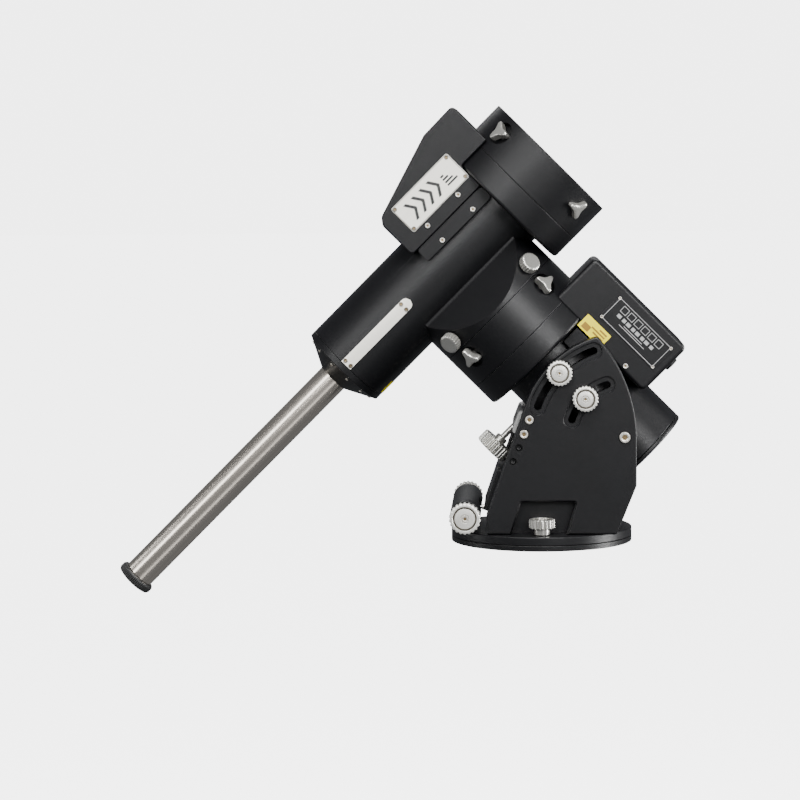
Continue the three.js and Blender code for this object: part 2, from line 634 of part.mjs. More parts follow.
// The bar's end is turned down to a tenon that fits the cone.
function counterweightBar() {
  const tenon = TENON_RADIUS - GAP;
  return turned([
    [0, BAR_D[0]], [BAR_RADIUS, BAR_D[0]], [BAR_RADIUS, BAR_D[1] - GAP], [tenon, BAR_D[1] - GAP],
    [tenon, TUBE_D[0]], [0, TUBE_D[0]],
  ], MEDIUM);
}

function barStop() {
  const [end, face] = STOP_D;
  const outer = STOP_RADIUS;
  const top = face - GAP;
  const profile = [[0, end], [outer - 3, end], [outer, end + 3], [outer, top - 2], [outer - 2, top], [0, top]];
  return turned(profile, MEDIUM);
}

// The saddle flange, with threaded holes in its face and recesses for the clutch knobs round it.
function saddleFlange() {
  const [low, face] = SADDLE_D;
  const bore = SHAFT_FLANGE + GAP;
  const body = turned([
    [bore, low], [HEAD_RADIUS, low], [HEAD_RADIUS, face - 1], [HEAD_RADIUS - 1, face], [0, face],
    [0, face - FACE_THICK], [bore, face - FACE_THICK], [bore, low],
  ]);
  const holes = Array.from({ length: 6 }, (_, index) => {
    const hole = rod(BOLT_RADIUS, face - 14, face + BITE, ROUGH).translate(BOLT_CIRCLE, 0, 0);
    return hole.rotateZ((Math.PI * index) / 3);
  });
  const recesses = KNOB_ANGLES.flatMap((angle) => starRecess(HEAD_RADIUS, angle, SADDLE_KNOB_D));
  return cut(body, ...holes, ...recesses);
}

function decDriveBox() {
  const { step, foot, stepTop, end, top, corner } = DEC_BOX;
  const outline = new THREE.Shape();
  outline.moveTo(step, foot);
  outline.lineTo(step, stepTop);
  outline.lineTo(end, stepTop);
  outline.lineTo(end, top - corner);
  outline.absarc(end - corner, top - corner, corner, 0, Math.PI / 2);
  outline.lineTo(91.3, 447.3);
  outline.lineTo(-19.5, 413.4);
  outline.lineTo(-26.8, 406);
  outline.lineTo(-26.8, 357);
  outline.lineTo(-21, foot);
  const half = DEC_BOX_HALF;
  const shell = slab(outline, [-half, half], 5, 3);
  const inner = [-half + BOX_WALL, half - BOX_WALL];
  const [low, reach, edge] = [foot - 11.5, end - BOX_WALL, step - BOX_WALL];
  const cavity = polygon([-19, low], [edge, low], [edge, 376], [reach, 376], [reach, 442], [92, 441], [-19, 407]);
  const tube = rod(DEC_RADIUS + GAP, -100, 250, FINE).rotateY(Math.PI / 2).translate(0, 0, DEC_T);
  const rings = rod(HEAD_RADIUS + 1, DEC_WHEEL_D[0] - 1, 250, FINE).rotateY(Math.PI / 2).translate(0, 0, DEC_T);
  return cut(shell, slab(cavity, inner), tube, rings);
}

// ---------- The assembly ----------
const sides = { near: -1, far: 1 };
const corners = ["far_left", "near_left", "near_right", "far_right"];

place(mount, "base_plate", basePlate(), BLACK);
place(mount, "azimuth_post", azimuthPost(), STEEL);
place(mount, "turntable", turntable(), BLACK);
place(mount, "azimuth_block", azimuthBlock(), BLACK);
place(polar, "altitude_crossbar", altitudeCrossbar(), ALUMINIUM);
place(polar, "altitude_screw", altitudeScrew(), ALUMINIUM);
for (const [where, side] of Object.entries(sides)) {
  place(mount, `cheek_${where}`, cheek(side), BLACK);
  place(mount, `pivot_bolt_${where}`, pivotBolt(side), STEEL);
  place(mount, `azimuth_screw_${where}`, pushScrew(side), ALUMINIUM);
  place(mount, `azimuth_lock_${where}`, azimuthLock(side), ALUMINIUM);
  place(polar, `altitude_clamp_${where}_upper`, altitudeClamp(side, SLOT_RADII[0]), ALUMINIUM);
  place(polar, `altitude_clamp_${where}_lower`, altitudeClamp(side, SLOT_RADII[1]), ALUMINIUM);
}

place(polar, "polar_housing", polarHousing(), BLACK);
place(polar, "polar_end_cap", polarEndCap(), BLACK);
place(polar, "ra_wheel_housing", wheelCup(WHEEL_T, RING_RADIUS, POLAR_BORE, 1), BLACK);
place(polar, "ra_drive_box", raDriveBox(), BLACK);
place(polar, "ra_nameplate", nameplate(), BLACK);
place(polar, "ra_motor", motor(RA_MOTOR), DARK_STEEL);
place(polar, "ra_worm", worm(RA_WORM), STEEL);
place(polar, "ra_belt", belt(RA_MOTOR, RA_WORM), RUBBER);
place(polar, "ra_worm_wheel", wormWheel(WHEEL_T), BRONZE);
place(polar, "ra_bearing_lower", bearing(-20, -2, POLAR_BORE), STEEL);
place(polar, "ra_bearing_upper", bearing(120, 138, POLAR_BORE), STEEL);

place(polar, "ra_shaft", flangedShaft(CAP_T[1] + 8, CLUTCH_T[0] + 4, FLANGE_T[0] - GAP), STEEL);
place(polar, "ra_clutch_ring", clutchRing(), BLACK);
place(polar, "dec_housing", decHousing(), BLACK);
place(polar, "dec_drive_box", decDriveBox(), BLACK);
place(polar, "dec_motor", motor(DEC_MOTOR), DARK_STEEL);
place(polar, "dec_worm", worm(DEC_WORM), STEEL);
place(polar, "dec_belt", belt(DEC_MOTOR, DEC_WORM), RUBBER);
place(declination, "dec_wheel_housing", wheelCup(DEC_WHEEL_D, HEAD_RADIUS, DEC_BORE, -1), BLACK);
place(declination, "dec_end_cone", endCone(), BLACK);
place(declination, "counterweight_bar", counterweightBar(), STEEL);
place(declination, "bar_stop", barStop(), RUBBER);
place(declination, "dec_worm_wheel", wormWheel(DEC_WHEEL_D), BRONZE);
place(declination, "dec_bearing_back", bearing(-150, -132, DEC_BORE), STEEL);
place(declination, "dec_bearing_front", bearing(70, 88, DEC_BORE), STEEL);
const decFlangeTop = SADDLE_D[1] - FACE_THICK - GAP;
place(declination, "dec_shaft", flangedShaft(TUBE_D[0] + 12, SADDLE_D[0] + 4, decFlangeTop), STEEL);
place(declination, "saddle_flange", saddleFlange(), BLACK);

KNOB_ANGLES.forEach((angle, index) => {
  const where = corners[index];
  const onClutch = outward(starKnob(), RING_RADIUS - STAR_SINK, angle, CLUTCH_KNOB_T);
  const onFlange = outward(thumbKnob(), RING_RADIUS, angle, THUMB_KNOB_T);
  const onSaddle = outward(starKnob(), HEAD_RADIUS - STAR_SINK, angle, SADDLE_KNOB_D);
  place(polar, `ra_clutch_knob_${where}`, onClutch, ALUMINIUM);
  place(polar, `ra_thumb_knob_${where}`, onFlange, ALUMINIUM);
  place(declination, `dec_clutch_knob_${where}`, onSaddle, ALUMINIUM);
});

export default mount;
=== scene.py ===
import json
import math

import bmesh
import bpy
from mathutils import Matrix, Quaternion, Vector


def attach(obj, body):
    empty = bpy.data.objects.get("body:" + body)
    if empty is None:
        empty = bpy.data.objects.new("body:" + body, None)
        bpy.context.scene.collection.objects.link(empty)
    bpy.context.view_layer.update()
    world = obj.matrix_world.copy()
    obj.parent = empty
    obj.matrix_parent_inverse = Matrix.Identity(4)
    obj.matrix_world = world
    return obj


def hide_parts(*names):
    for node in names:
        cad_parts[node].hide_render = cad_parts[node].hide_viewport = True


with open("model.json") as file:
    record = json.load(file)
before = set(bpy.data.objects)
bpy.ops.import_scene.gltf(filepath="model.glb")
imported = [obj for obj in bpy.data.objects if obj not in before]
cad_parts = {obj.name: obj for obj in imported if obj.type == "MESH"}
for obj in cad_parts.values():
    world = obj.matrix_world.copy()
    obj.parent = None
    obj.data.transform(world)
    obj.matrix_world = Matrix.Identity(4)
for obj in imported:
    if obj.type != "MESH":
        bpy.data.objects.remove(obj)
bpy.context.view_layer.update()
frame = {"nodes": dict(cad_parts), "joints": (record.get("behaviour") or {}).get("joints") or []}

MM = 0.001

# ---------- Frames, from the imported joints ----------
JOINTS = {joint["name"]: joint for joint in frame["joints"]}
PIVOT = Vector(JOINTS["altitude_turn"]["pos_m"])
POLAR_AXIS = Vector(JOINTS["ra_turn"]["axis"]).normalized()
DEC_CENTRE = Vector(JOINTS["dec_turn"]["pos_m"])
DEC_AXIS = Vector(JOINTS["dec_turn"]["axis"]).normalized()


def axes(origin, x, z):
    """The matrix of a frame with that origin, first axis and third axis."""
    columns = Matrix((x, z.cross(x), z)).transposed()
    return Matrix.Translation(origin) @ columns.to_4x4()


WORLD = Matrix.Identity(4)
POLAR = axes(PIVOT, DEC_AXIS, POLAR_AXIS)  # third axis up the polar axis, first towards the saddle
DECLINATION = axes(DEC_CENTRE, -POLAR_AXIS, DEC_AXIS)  # third axis towards the saddle

# ---------- Sizes in millimetres ----------
BASE_RADIUS = 116.5
BASE_TOP = 7.0
TURNTABLE_TOP = 18.0
CHEEK_OUT = 92.0
CHEEK_IN = 70.0
SLOT_RADII = (116.0, 70.0)
SLOT_HALF_ANGLE = math.radians(25.4)
CLAMP_RADIUS = 16.25
PUSH_X = -97.0
PUSH_Z = 42.0
LOCK_Y = 95.0
SCREW_T = 103.0
SCREW_FACE_D = -139.0  # the altitude screw's knob, at rest
SCREW_KNOB_THICK = 17.0
SCREW_TRAVEL = 41.5
POLAR_RADIUS = 64.0
RING_RADIUS = 92.0
WHEEL_T = (142.0, 175.0)
CLUTCH_T = (175.0, 224.7)
FLANGE_LOW = 224.7
CLUTCH_KNOB_T = 207.0
THUMB_KNOB_T = 239.0
DEC_T = (DEC_CENTRE - PIVOT).length / MM
DEC_RADIUS = 59.2
HEAD_RADIUS = 94.0
TUBE_D = (-187.0, 97.0)
DEC_WHEEL_D = (97.0, 131.0)
SADDLE_D = (131.0, 184.6)
SADDLE_KNOB_D = 161.5
BAR_RADIUS = 20.0
BAR_D = (-578.0, -214.7)
STOP_D = (-590.0, -578.0)
BOX_HALF = 66.0
DEC_BOX_HALF = 64.0
STAR_SINK = 7.0
KNOB_ANGLES = [math.radians(angle) for angle in (-135, -45, 45, 135)]
CORNERS = ("far_left", "near_left", "near_right", "far_right")
SIDES = {"near": -1, "far": 1}
# How far each three-armed knob is turned, in degrees.
RA_SPINS = {"far_left": 30, "near_left": 85, "near_right": -5, "far_right": 50}
DEC_SPINS = {"far_left": 100, "near_left": 14, "near_right": 69, "far_right": 20}
PIVOT_XZ = (PIVOT.x / MM, PIVOT.z / MM)
PIER_BOLT_RADIUS = 70.0
SADDLE_BOLT_RADIUS = 70.0
SADDLE_BOLTS = 6
PLUG_HOLES = ((-28.6, 129.2), (-36.1, 111.7))  # the cheek's spare holes for the crossbar
CROSSBAR_SCREWS = ((-15.4, 164.4), (-22.3, 146.2))
SCREW_SEAT = 1.2  # how deep a cheek's screw heads sit
GAP = 0.3  # left between neighbouring pieces
RA_BOX_D = (55.6, 134.8)
RA_BOX_T = (21.6, 184.6)
BOX_WALL = 5.0
PLATE_THICK = 1.2
PLATE_GAP = 0.1
CONE_TIP = 21.6
CONE_EDGE = (54.4, -197.4)  # radius and height where the end cone meets its rim
CONE_SCREWS = 12
STRIP_THICK = 0.9
DISH = 0.76  # a clamp knob's dish, as a share of its radius
DISH_DEPTH = 2.8


# ---------- Mesh code ----------
def rounded(points, closed=True, steps=5):
    """Points in a plane as (a, b) or (a, b, radius): each corner with a radius becomes an arc."""
    made = []
    count = len(points)
    for index, point in enumerate(points):
        corner = Vector(point[:2])
        radius = point[2] if len(point) > 2 else 0
        at_end = not closed and index in (0, count - 1)
        if radius <= 0 or at_end:
            made.append(tuple(corner))
            continue
        before = (Vector(points[index - 1][:2]) - corner).normalized()
        after = (Vector(points[(index + 1) % count][:2]) - corner).normalized()
        half = before.angle(after) / 2
        reach = radius / math.tan(half)
        centre = corner + (before + after).normalized() * radius / math.sin(half)
        start = corner + before * reach - centre
        sweep = start.angle_signed(corner + after * reach - centre)
        for step in range(steps + 1):
            turn = Matrix.Rotation(-sweep * step / steps, 2)
            made.append(tuple(centre + turn @ start))
    return made


def arc(centre, radius, start, end, steps=24):
    """Points on an arc, angles in radians."""
    turns = [start + (end - start) * step / steps for step in range(steps + 1)]
    return [(centre[0] + radius * math.cos(turn), centre[1] + radius * math.sin(turn)) for turn in turns]


def new_object(name, bm):
    for face in bm.faces:
        face.smooth = True
    bmesh.ops.recalc_face_normals(bm, faces=bm.faces)
    mesh = bpy.data.meshes.new(name)
    bm.to_mesh(mesh)
    bm.free()
    made = bpy.data.objects.new(name, mesh)
    bpy.context.collection.objects.link(made)
    return made


def lofted(name, levels, samples=128):
    """Stacked loops about Z. A level is (radius, z), its radius a number or a function of the angle."""
    bm = bmesh.new()
    loops = []
    for radius, z in levels:
        if radius == 0:
            loops.append([bm.verts.new((0, 0, z * MM))])
            continue
        loop = []
        for index in range(samples):
            angle = 2 * math.pi * index / samples
            reach = (radius(angle) if callable(radius) else radius) * MM
            loop.append(bm.verts.new((reach * math.cos(angle), reach * math.sin(angle), z * MM)))
        loops.append(loop)
    for low, high in zip(loops, loops[1:]):
        for index in range(samples):
            after = (index + 1) % samples
            corners = [low[index % len(low)], low[after % len(low)]]
            corners += [high[after % len(high)], high[index % len(high)]]
            unique = list(dict.fromkeys(corners))
            if len(unique) > 2:
                bm.faces.new(unique)
    return new_object(name, bm)


def turned(name, profile, samples=128):
    """A profile of (radius, z) or (radius, z, rounding) turned about Z, from axis to axis."""
    return lofted(name, rounded(profile, closed=False), samples)


def ring(name, profile, samples=128):
    """A closed profile of (radius, z) or (radius, z, rounding), turned about Z."""
    points = rounded(profile)
    return lofted(name, points + points[:1], samples)


def rod(name, radius, z0, z1, samples=48, rim=0.0):
    return turned(name, [(0, z0), (radius, z0, rim), (radius, z1, rim), (0, z1)], samples)


def prism(name, outline, y0, y1, far_outline=None):
    """An outline of (x, z) points given thickness along Y. Another outline at its far end tapers it."""
    bm = bmesh.new()
    front = [bm.verts.new((x * MM, y0 * MM, z * MM)) for x, z in outline]
    back = [bm.verts.new((x * MM, y1 * MM, z * MM)) for x, z in far_outline or outline]
    bm.faces.new(front)
    bm.faces.new(back[::-1])
    for index in range(len(outline)):
        after = (index + 1) % len(outline)
        bm.faces.new((front[index], back[index], back[after], front[after]))
    return new_object(name, bm)


def rectangle(x0, x1, z0, z1, radius=0.0):
    return rounded([(x0, z0, radius), (x1, z0, radius), (x1, z1, radius), (x0, z1, radius)])


def bake(piece):
    """Applies the piece's modifiers and its own matrix to its mesh."""
    bpy.context.view_layer.update()
    evaluated = piece.evaluated_get(bpy.context.evaluated_depsgraph_get())
    mesh = bpy.data.meshes.new_from_object(evaluated)
    mesh.transform(piece.matrix_world)
    piece.modifiers.clear()
    piece.matrix_world = Matrix.Identity(4)
    piece.data = mesh
    return piece


def combine(piece, operation, tools):
    """Joins tools to a piece, or cuts them from it, and deletes them."""
    for tool in tools:
        modifier = piece.modifiers.new("combine", "BOOLEAN")
        modifier.operation = operation
        modifier.solver = "EXACT"
        modifier.object = tool
    bake(piece)
    for tool in tools:
        bpy.data.objects.remove(tool, do_unlink=True)
    return piece


def cut(piece, *tools):
    return combine(piece, "DIFFERENCE", tools)


def join(piece, *tools):
    return combine(piece, "UNION", tools)


def bevel(piece, width, segments=3, limit=35):
    modifier = piece.modifiers.new("edges", "BEVEL")
    modifier.width = width * MM
    modifier.segments = segments
    modifier.limit_method = "ANGLE"
    modifier.angle_limit = math.radians(limit)
    modifier.miter_outer = "MITER_ARC"
    return piece


def moved(piece, *matrices):
    """Moves a piece's mesh by the product of the matrices."""
    total = Matrix.Identity(4)
    for matrix in matrices:
        total = total @ matrix
    piece.data.transform(total)
    return piece


def shift(x, y, z):
    return Matrix.Translation(Vector((x, y, z)) * MM)


def turn(degrees, axis):
    return Matrix.Rotation(math.radians(degrees), 4, axis)


OUT_OF_SIDE = turn(90, "X")  # a piece drawn up Z then faces -Y


def facing(side):
    """Turns a piece drawn up Z to face out of the near or far side."""
    return turn(90, "X") if side < 0 else turn(-90, "X")


def outward(distance, angle, z):
    """Places a piece drawn up Z so that it faces out from the Z axis at an angle."""
    return shift(0, 0, z) @ Matrix.Rotation(angle, 4, "Z") @ OUT_OF_SIDE @ shift(0, 0, distance)


def mark_corners(piece, limit=38):
    """Marks each edge that turns through more than the limit as sharp, so that shading breaks there."""
    bm = bmesh.new()
    bm.from_mesh(piece.data)
    for edge in bm.edges:
        edge.smooth = len(edge.link_faces) == 2 and edge.calc_face_angle(0) < math.radians(limit)
    bm.to_mesh(piece.data)
    bm.free()


def finish_piece(piece, body, material, place=WORLD, nodes=()):
    """Gives a piece its material, its place and the body that it rides on, and keeps its corners crisp."""
    bake(piece)
    mark_corners(piece)
    piece.data.materials.clear()
    piece.data.materials.append(material)
    for polygon in piece.data.polygons:
        polygon.material_index = 0
        polygon.use_smooth = True
    piece.matrix_world = place
    normals = piece.modifiers.new("normals", "WEIGHTED_NORMAL")
    normals.keep_sharp = True
    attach(piece, body)
    if nodes:
        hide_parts(*nodes)
    return piece


def finish_black(piece, body, place=WORLD, nodes=()):
    """A finished piece of black anodised aluminium."""
    return finish_piece(piece, body, BLACK, place, nodes)


# ---------- Materials ----------
class Shader:
    """A material's node tree, with short calls for the nodes that the finishes below share."""

    def __init__(self, name, base, metallic, roughness):
        self.material = bpy.data.materials.new(name)
        self.material.use_nodes = True
        self.tree = self.material.node_tree
        self.surface = self.tree.nodes["Principled BSDF"]
        self.surface.inputs["Base Color"].default_value = (*base, 1)
        self.surface.inputs["Metallic"].default_value = metallic
        self.surface.inputs["Roughness"].default_value = roughness
        self.place = self.node("ShaderNodeTexCoord").outputs["Object"]

    def node(self, kind, **settings):
        made = self.tree.nodes.new(kind)
        for key, value in settings.items():
            setattr(made, key, value)
        return made

    def link(self, source, node, socket):
        self.tree.links.new(source, node.inputs[socket])
        return node

    def noise(self, scale, detail=4.0, stretch=(1, 1, 1), place=None):
        mapping = self.node("ShaderNodeMapping")
        mapping.inputs["Scale"].default_value = stretch
        self.link(place or self.place, mapping, "Vector")
        texture = self.node("ShaderNodeTexNoise")
        texture.inputs["Scale"].default_value = scale
        texture.inputs["Detail"].default_value = detail
        self.link(mapping.outputs[0], texture, "Vector")
        return texture.outputs["Fac"]

    def spread(self, value, low, high):
        span = self.node("ShaderNodeMapRange")
        span.inputs["From Min"].default_value = 0.3
        span.inputs["From Max"].default_value = 0.7
        span.inputs["To Min"].default_value = low
        span.inputs["To Max"].default_value = high
        self.link(value, span, "Value")
        return span.outputs["Result"]

    def blend(self, value, dark, light):
        mix = self.node("ShaderNodeMix", data_type="RGBA")
        self.link(value, mix, "Factor")
        mix.inputs["A"].default_value = (*dark, 1)
        mix.inputs["B"].default_value = (*light, 1)
        return mix.outputs["Result"]

    def color(self, source):
        self.link(source, self.surface, "Base Color")

    def roughness(self, source):
        self.link(source, self.surface, "Roughness")

    def bump(self, height, depth, strength=1.0):
        bump = self.node("ShaderNodeBump")
        bump.inputs["Distance"].default_value = depth * MM
        bump.inputs["Strength"].default_value = strength
        self.link(height, bump, "Height")
        self.link(bump.outputs["Normal"], self.surface, "Normal")

    def radial(self):
        """The distance from the piece's own Z axis, as a vector with only that value in it."""
        split = self.node("ShaderNodeSeparateXYZ")
        self.link(self.place, split, "Vector")
        flat = self.node("ShaderNodeCombineXYZ")
        self.link(split.outputs["X"], flat, "X")
        self.link(split.outputs["Y"], flat, "Y")
        length = self.node("ShaderNodeVectorMath", operation="LENGTH")
        self.link(flat.outputs[0], length, 0)
        joined = self.node("ShaderNodeCombineXYZ")
        self.link(length.outputs["Value"], joined, "X")
        self.link(split.outputs["Z"], joined, "Z")
        return joined.outputs[0]


def black_anodised(name, light=1.0):
    """Bead-blasted aluminium, dyed black: soft sheen, fine grain and faint clouding. A light factor below 1
    darkens it into painted shade.
    """
    shader = Shader(name, (0.006, 0.006, 0.007), 0.0, 0.42)
    shader.surface.inputs["Specular IOR Level"].default_value = 0.34
    cloud = shader.noise(18, 3)
    grain = shader.noise(850, 4)
    dark = tuple(light * value for value in (0.0010, 0.0010, 0.0013))
    pale = tuple(light * value for value in (0.0030, 0.0030, 0.0040))
    shader.color(shader.blend(cloud, dark, pale))
    shader.roughness(shader.spread(grain, 0.33, 0.5))
    shader.bump(grain, 0.16, 0.7)
    return shader.material


def turned_aluminium(name, tone=(0.74, 0.72, 0.68), rough=(0.26, 0.4), metallic=0.9):
    """Bare aluminium from a lathe: fine rings about the piece's axis, and slight tarnish."""
    shader = Shader(name, tone, metallic, 0.32)
    rings = shader.noise(3500, 2, place=shader.radial())
    tarnish = shader.noise(60, 4)
    shader.color(shader.blend(tarnish, tuple(0.82 * value for value in tone), tone))
    shader.roughness(shader.spread(rings, *rough))
    shader.bump(rings, 0.02, 0.35)
    return shader.material


def brushed(name, tone, stretch, rough=(0.2, 0.38), metallic=1.0, depth=0.01, grain=900, detail=3, dark=0.8):
    """Metal brushed along one axis: streaks in colour, roughness and height."""
    shader = Shader(name, tone, metallic, 0.3)
    streaks = shader.noise(grain, detail, stretch)
    shader.color(shader.blend(streaks, tuple(dark * value for value in tone), tone))
    shader.roughness(shader.spread(streaks, *rough))
    shader.bump(streaks, depth, 0.4)
    return shader.material


def plain(name, tone, metallic, rough, grain=1500, depth=0.03):
    """Paint, plastic or rubber with a fine grain."""
    shader = Shader(name, tone, metallic, sum(rough) / 2)
    speckle = shader.noise(grain, 3)
    cloud = shader.noise(40, 3)
    shader.color(shader.blend(cloud, tuple(0.75 * value for value in tone), tone))
    shader.roughness(shader.spread(speckle, *rough))
    shader.bump(speckle, depth, 0.6)
    return shader.material


BLACK = black_anodised("black_anodised")
# A darker copy of the black finish: painted shade for pieces that sit deep in holes.
BLACK_PAINTED_SHADE = black_anodised("black_painted_shade", 0.6)
KNOB = turned_aluminium("turned_aluminium", (0.60, 0.59, 0.55), (0.24, 0.36), 0.85)
KNOB_PALE = turned_aluminium("satin_aluminium", (0.80, 0.79, 0.74), (0.32, 0.44), 0.55)
CASTING = plain("cast_aluminium", (0.5, 0.5, 0.49), 0.9, (0.4, 0.55), 900, 0.05)
STAINLESS = brushed(
    "stainless_bar", (1.0, 0.91, 0.80), (1, 1, 0.002), (0.22, 0.32),
    depth=0.0, grain=110, detail=1, dark=0.72,
)
SCREW_STEEL = turned_aluminium("screw_steel", (0.72, 0.69, 0.63), (0.25, 0.35), 0.7)
# A dark steel tone for stainless screw heads and the knobs' dish rings: painted shade on steel.
SHADED_STEEL = turned_aluminium("steel_painted_shade", (0.20, 0.18, 0.15), (0.25, 0.4))
SOCKET = plain("socket_brass", (0.30, 0.22, 0.12), 1.0, (0.3, 0.5))
PLATE = brushed("brushed_plate", (0.98, 0.95, 0.86), (0.03, 1, 1), (0.3, 0.45), 0.15)
LABEL = plain("yellow_label", (0.96, 0.80, 0.0), 0.0, (0.5, 0.65), 700, 0.01)
INK = plain("label_ink", (0.30, 0.17, 0.01), 0.0, (0.4, 0.5))
# Near-black lines for the series plate's print, and for the painted shadow round its edge.
ETCHED_AND_SHADOW = plain("etched_and_shadow_lines", (0.02, 0.02, 0.02), 0.0, (0.4, 0.5))
ENGRAVED = plain("engraved_lines", (0.44, 0.44, 0.44), 0.3, (0.35, 0.5))
POLYMER = plain("black_polymer", (0.012, 0.012, 0.012), 0.0, (0.45, 0.6), 1200, 0.05)
BRONZE = turned_aluminium("turned_bronze", (0.55, 0.36, 0.17), (0.25, 0.4))
SHAFT_STEEL = turned_aluminium("ground_steel", (0.5, 0.5, 0.5), (0.15, 0.3))
MOTOR_COAT = plain("motor_coat", (0.03, 0.03, 0.032), 0.2, (0.4, 0.6))
BELT = plain("belt_rubber", (0.012, 0.012, 0.012), 0.0, (0.6, 0.8))


# ---------- Knobs and screws ----------
def hexagon(across):
    """The radius of a hexagonal loop of that width across its flats, as a function of the angle."""
    return lambda angle: across / 2 / math.cos((angle % (math.pi / 3)) - math.pi / 6)


def fluted(radius, depth, flutes):
    """The radius of a rim with rounded ridges between narrow grooves."""
    return lambda angle: radius - depth * (0.5 + 0.5 * math.cos(flutes * angle)) ** 2


def screw_head(name, radius, height, sunk=0.0):
    """A cap screw's head with a hexagonal socket, its seat at zero."""
    across = radius * 0.95
    socket = hexagon(across)
    floor = height * 0.45
    return lofted(name, [
        (0, -sunk), (radius * 0.96, -sunk), (radius, 0.08 * height), (radius, 0.8 * height),
        (radius * 0.93, 0.96 * height), (radius * 0.82, height), (across * 0.72, height),
        (across * 0.66, 0.97 * height), (socket, 0.9 * height), (socket, floor), (0, floor - 0.1 * height),
    ], 48)


def knurled_knob(name, radius, thick, collar, collar_thick, stud, stud_length, flutes=22, dished=True):
    """A knob with its face at zero, and a collar and a stud below. A dished face has room for a screw."""
    deep = fluted(radius, 0.12 * radius, flutes)
    half = fluted(radius - 0.6, 0.05 * radius, flutes)
    rim = radius - 1.6
    low = -thick - collar_thick
    levels = [
        (0, low - stud_length), (stud - 0.5, low - stud_length), (stud, low - stud_length + 0.6),
        (stud, low), (collar - 0.8, low), (collar, low + 0.8), (collar, -thick), (rim, -thick),
        (half, 0.7 - thick), (deep, 1.6 - thick), (deep, -1.6), (half, -0.7), (rim - 0.6, 0),
    ]
    if dished:
        dish = DISH * radius
        seat = 0.27 * radius
        levels += [
            (dish + 0.5, 0), (dish, -0.5), (dish - 0.4, -4.6), (dish - 2.0, -4.6), (dish - 2.3, -2.2),
            (dish - 2.9, -1.8), (seat + 0.5, -1.4), (seat, -1.9), (seat, -DISH_DEPTH), (0, -DISH_DEPTH),
        ]
    else:
        levels += [(rim - 2.4, 0), (0, 0)]
    return lofted(name, levels, flutes * 12)


def star(radius, waist, scale):
    """The radius of a three-armed outline with hollow sides and blunt tips, as a function of the angle."""
    def reach(angle):
        from_side = math.pi / 3 - abs((angle + math.pi / 3) % (2 * math.pi / 3) - math.pi / 3)
        side = waist / math.cos(from_side) ** 1.7
        return scale * (side ** -9 + radius ** -9) ** (-1 / 9)
    return reach


def star_knob(name, radius, height, spin):
    """A three-armed knob on a round neck, its seat at zero. Its first arm is at the spin angle."""
    def arms(scale):
        return star(radius, 0.47 * radius, scale)
    knob = lofted(name, [
        (0, -16), (2.6, -16), (3, -15.4), (3, 0.4), (5.2, 0.4), (5.4, 2.6),
        (arms(0.84), 3.4), (arms(0.96), 4.2), (arms(1.0), 5.6), (arms(1.0), height - 2.2),
        (arms(0.97), height - 1.1), (arms(0.9), height - 0.4), (arms(0.78), height), (arms(0.3), height),
        (0, height),
    ], 216)
    return moved(knob, turn(spin, "Z"))


def socket_dot(name, across, z):
    """The brassy floor of a hexagonal socket."""
    return lofted(name, [(0, z - 0.4), (hexagon(across), z - 0.4), (hexagon(across), z), (0, z)], 24)


def add_screw(name, place, radius, height, body, sunk=0.0, material=None):
    """A cap screw with its socket floor, its seat on the plane that place gives."""
    head = screw_head(name, radius, height, sunk)
    finish_piece(head, body, material or SCREW_STEEL, place)
    floor = socket_dot(name + "_socket", radius * 0.93, 0.5 * height)
    finish_piece(floor, body, SOCKET, place)
    return head


def add_knob(name, place, radius, thick, material=KNOB_PALE, **sizes):
    """A knurled knob that replaces its CAD node, with the end of its screw in the middle of its face."""
    knob = knurled_knob(name + "_knob", radius, thick, **sizes)
    finish_piece(knob, name, material, place, nodes=(name,))
    inner, outer = DISH * radius - 2, DISH * radius - 0.4
    # A dark steel ring laid in the dish's inner channel: painted shade where the channel's floor lies in
    # shadow.
    groove_shade = ring(name + "_groove", [(inner, -4.7), (outer, -4.7), (outer, -1.4), (inner, -1.4)])
    finish_piece(groove_shade, name, SHADED_STEEL, place)
    add_screw(name + "_centre", place @ shift(0, 0, -DISH_DEPTH), 0.2 * radius, 2, name)


# ---------- Base and azimuth ----------
def arc_slot(centre, radius, half_width, start, end):
    """The outline of a slot curved about a centre, with round ends."""
    def at(angle):
        return (centre[0] + radius * math.cos(angle), centre[1] + radius * math.sin(angle))
    outline = arc(centre, radius + half_width, start, end)
    outline += arc(at(end), half_width, end, end + math.pi, 12)[1:-1]
    outline += arc(centre, radius - half_width, end, start)
    outline += arc(at(start), half_width, start + math.pi, start + 2 * math.pi, 12)[1:-1]
    return outline


def make_base():
    plate = turned("base_plate_disc", [
        (0, 0), (BASE_RADIUS, 0, 0.8), (BASE_RADIUS, BASE_TOP, 0.8), (25, BASE_TOP), (25, TURNTABLE_TOP, 1),
        (0, TURNTABLE_TOP),
    ], 192)
    corner = PIER_BOLT_RADIUS / math.sqrt(2)
    bolts = []
    for x, y in ((1, 1), (1, -1), (-1, 1), (-1, -1)):
        bolts.append(moved(rod("bolt", 4, -2, 5, 24), shift(x * corner, y * corner, 0)))
    cut(plate, *bolts, moved(rod("foot", 8 + GAP, 2, 30), shift(PUSH_X, 0, 0)))
    finish_black(plate, "base", nodes=("base_plate",))
    post = rod("azimuth_post_pin", 8, 2.3, 50, 64, 1.5)
    finish_piece(post, "base", SHAFT_STEEL, shift(PUSH_X, 0, 0), nodes=("azimuth_post",))


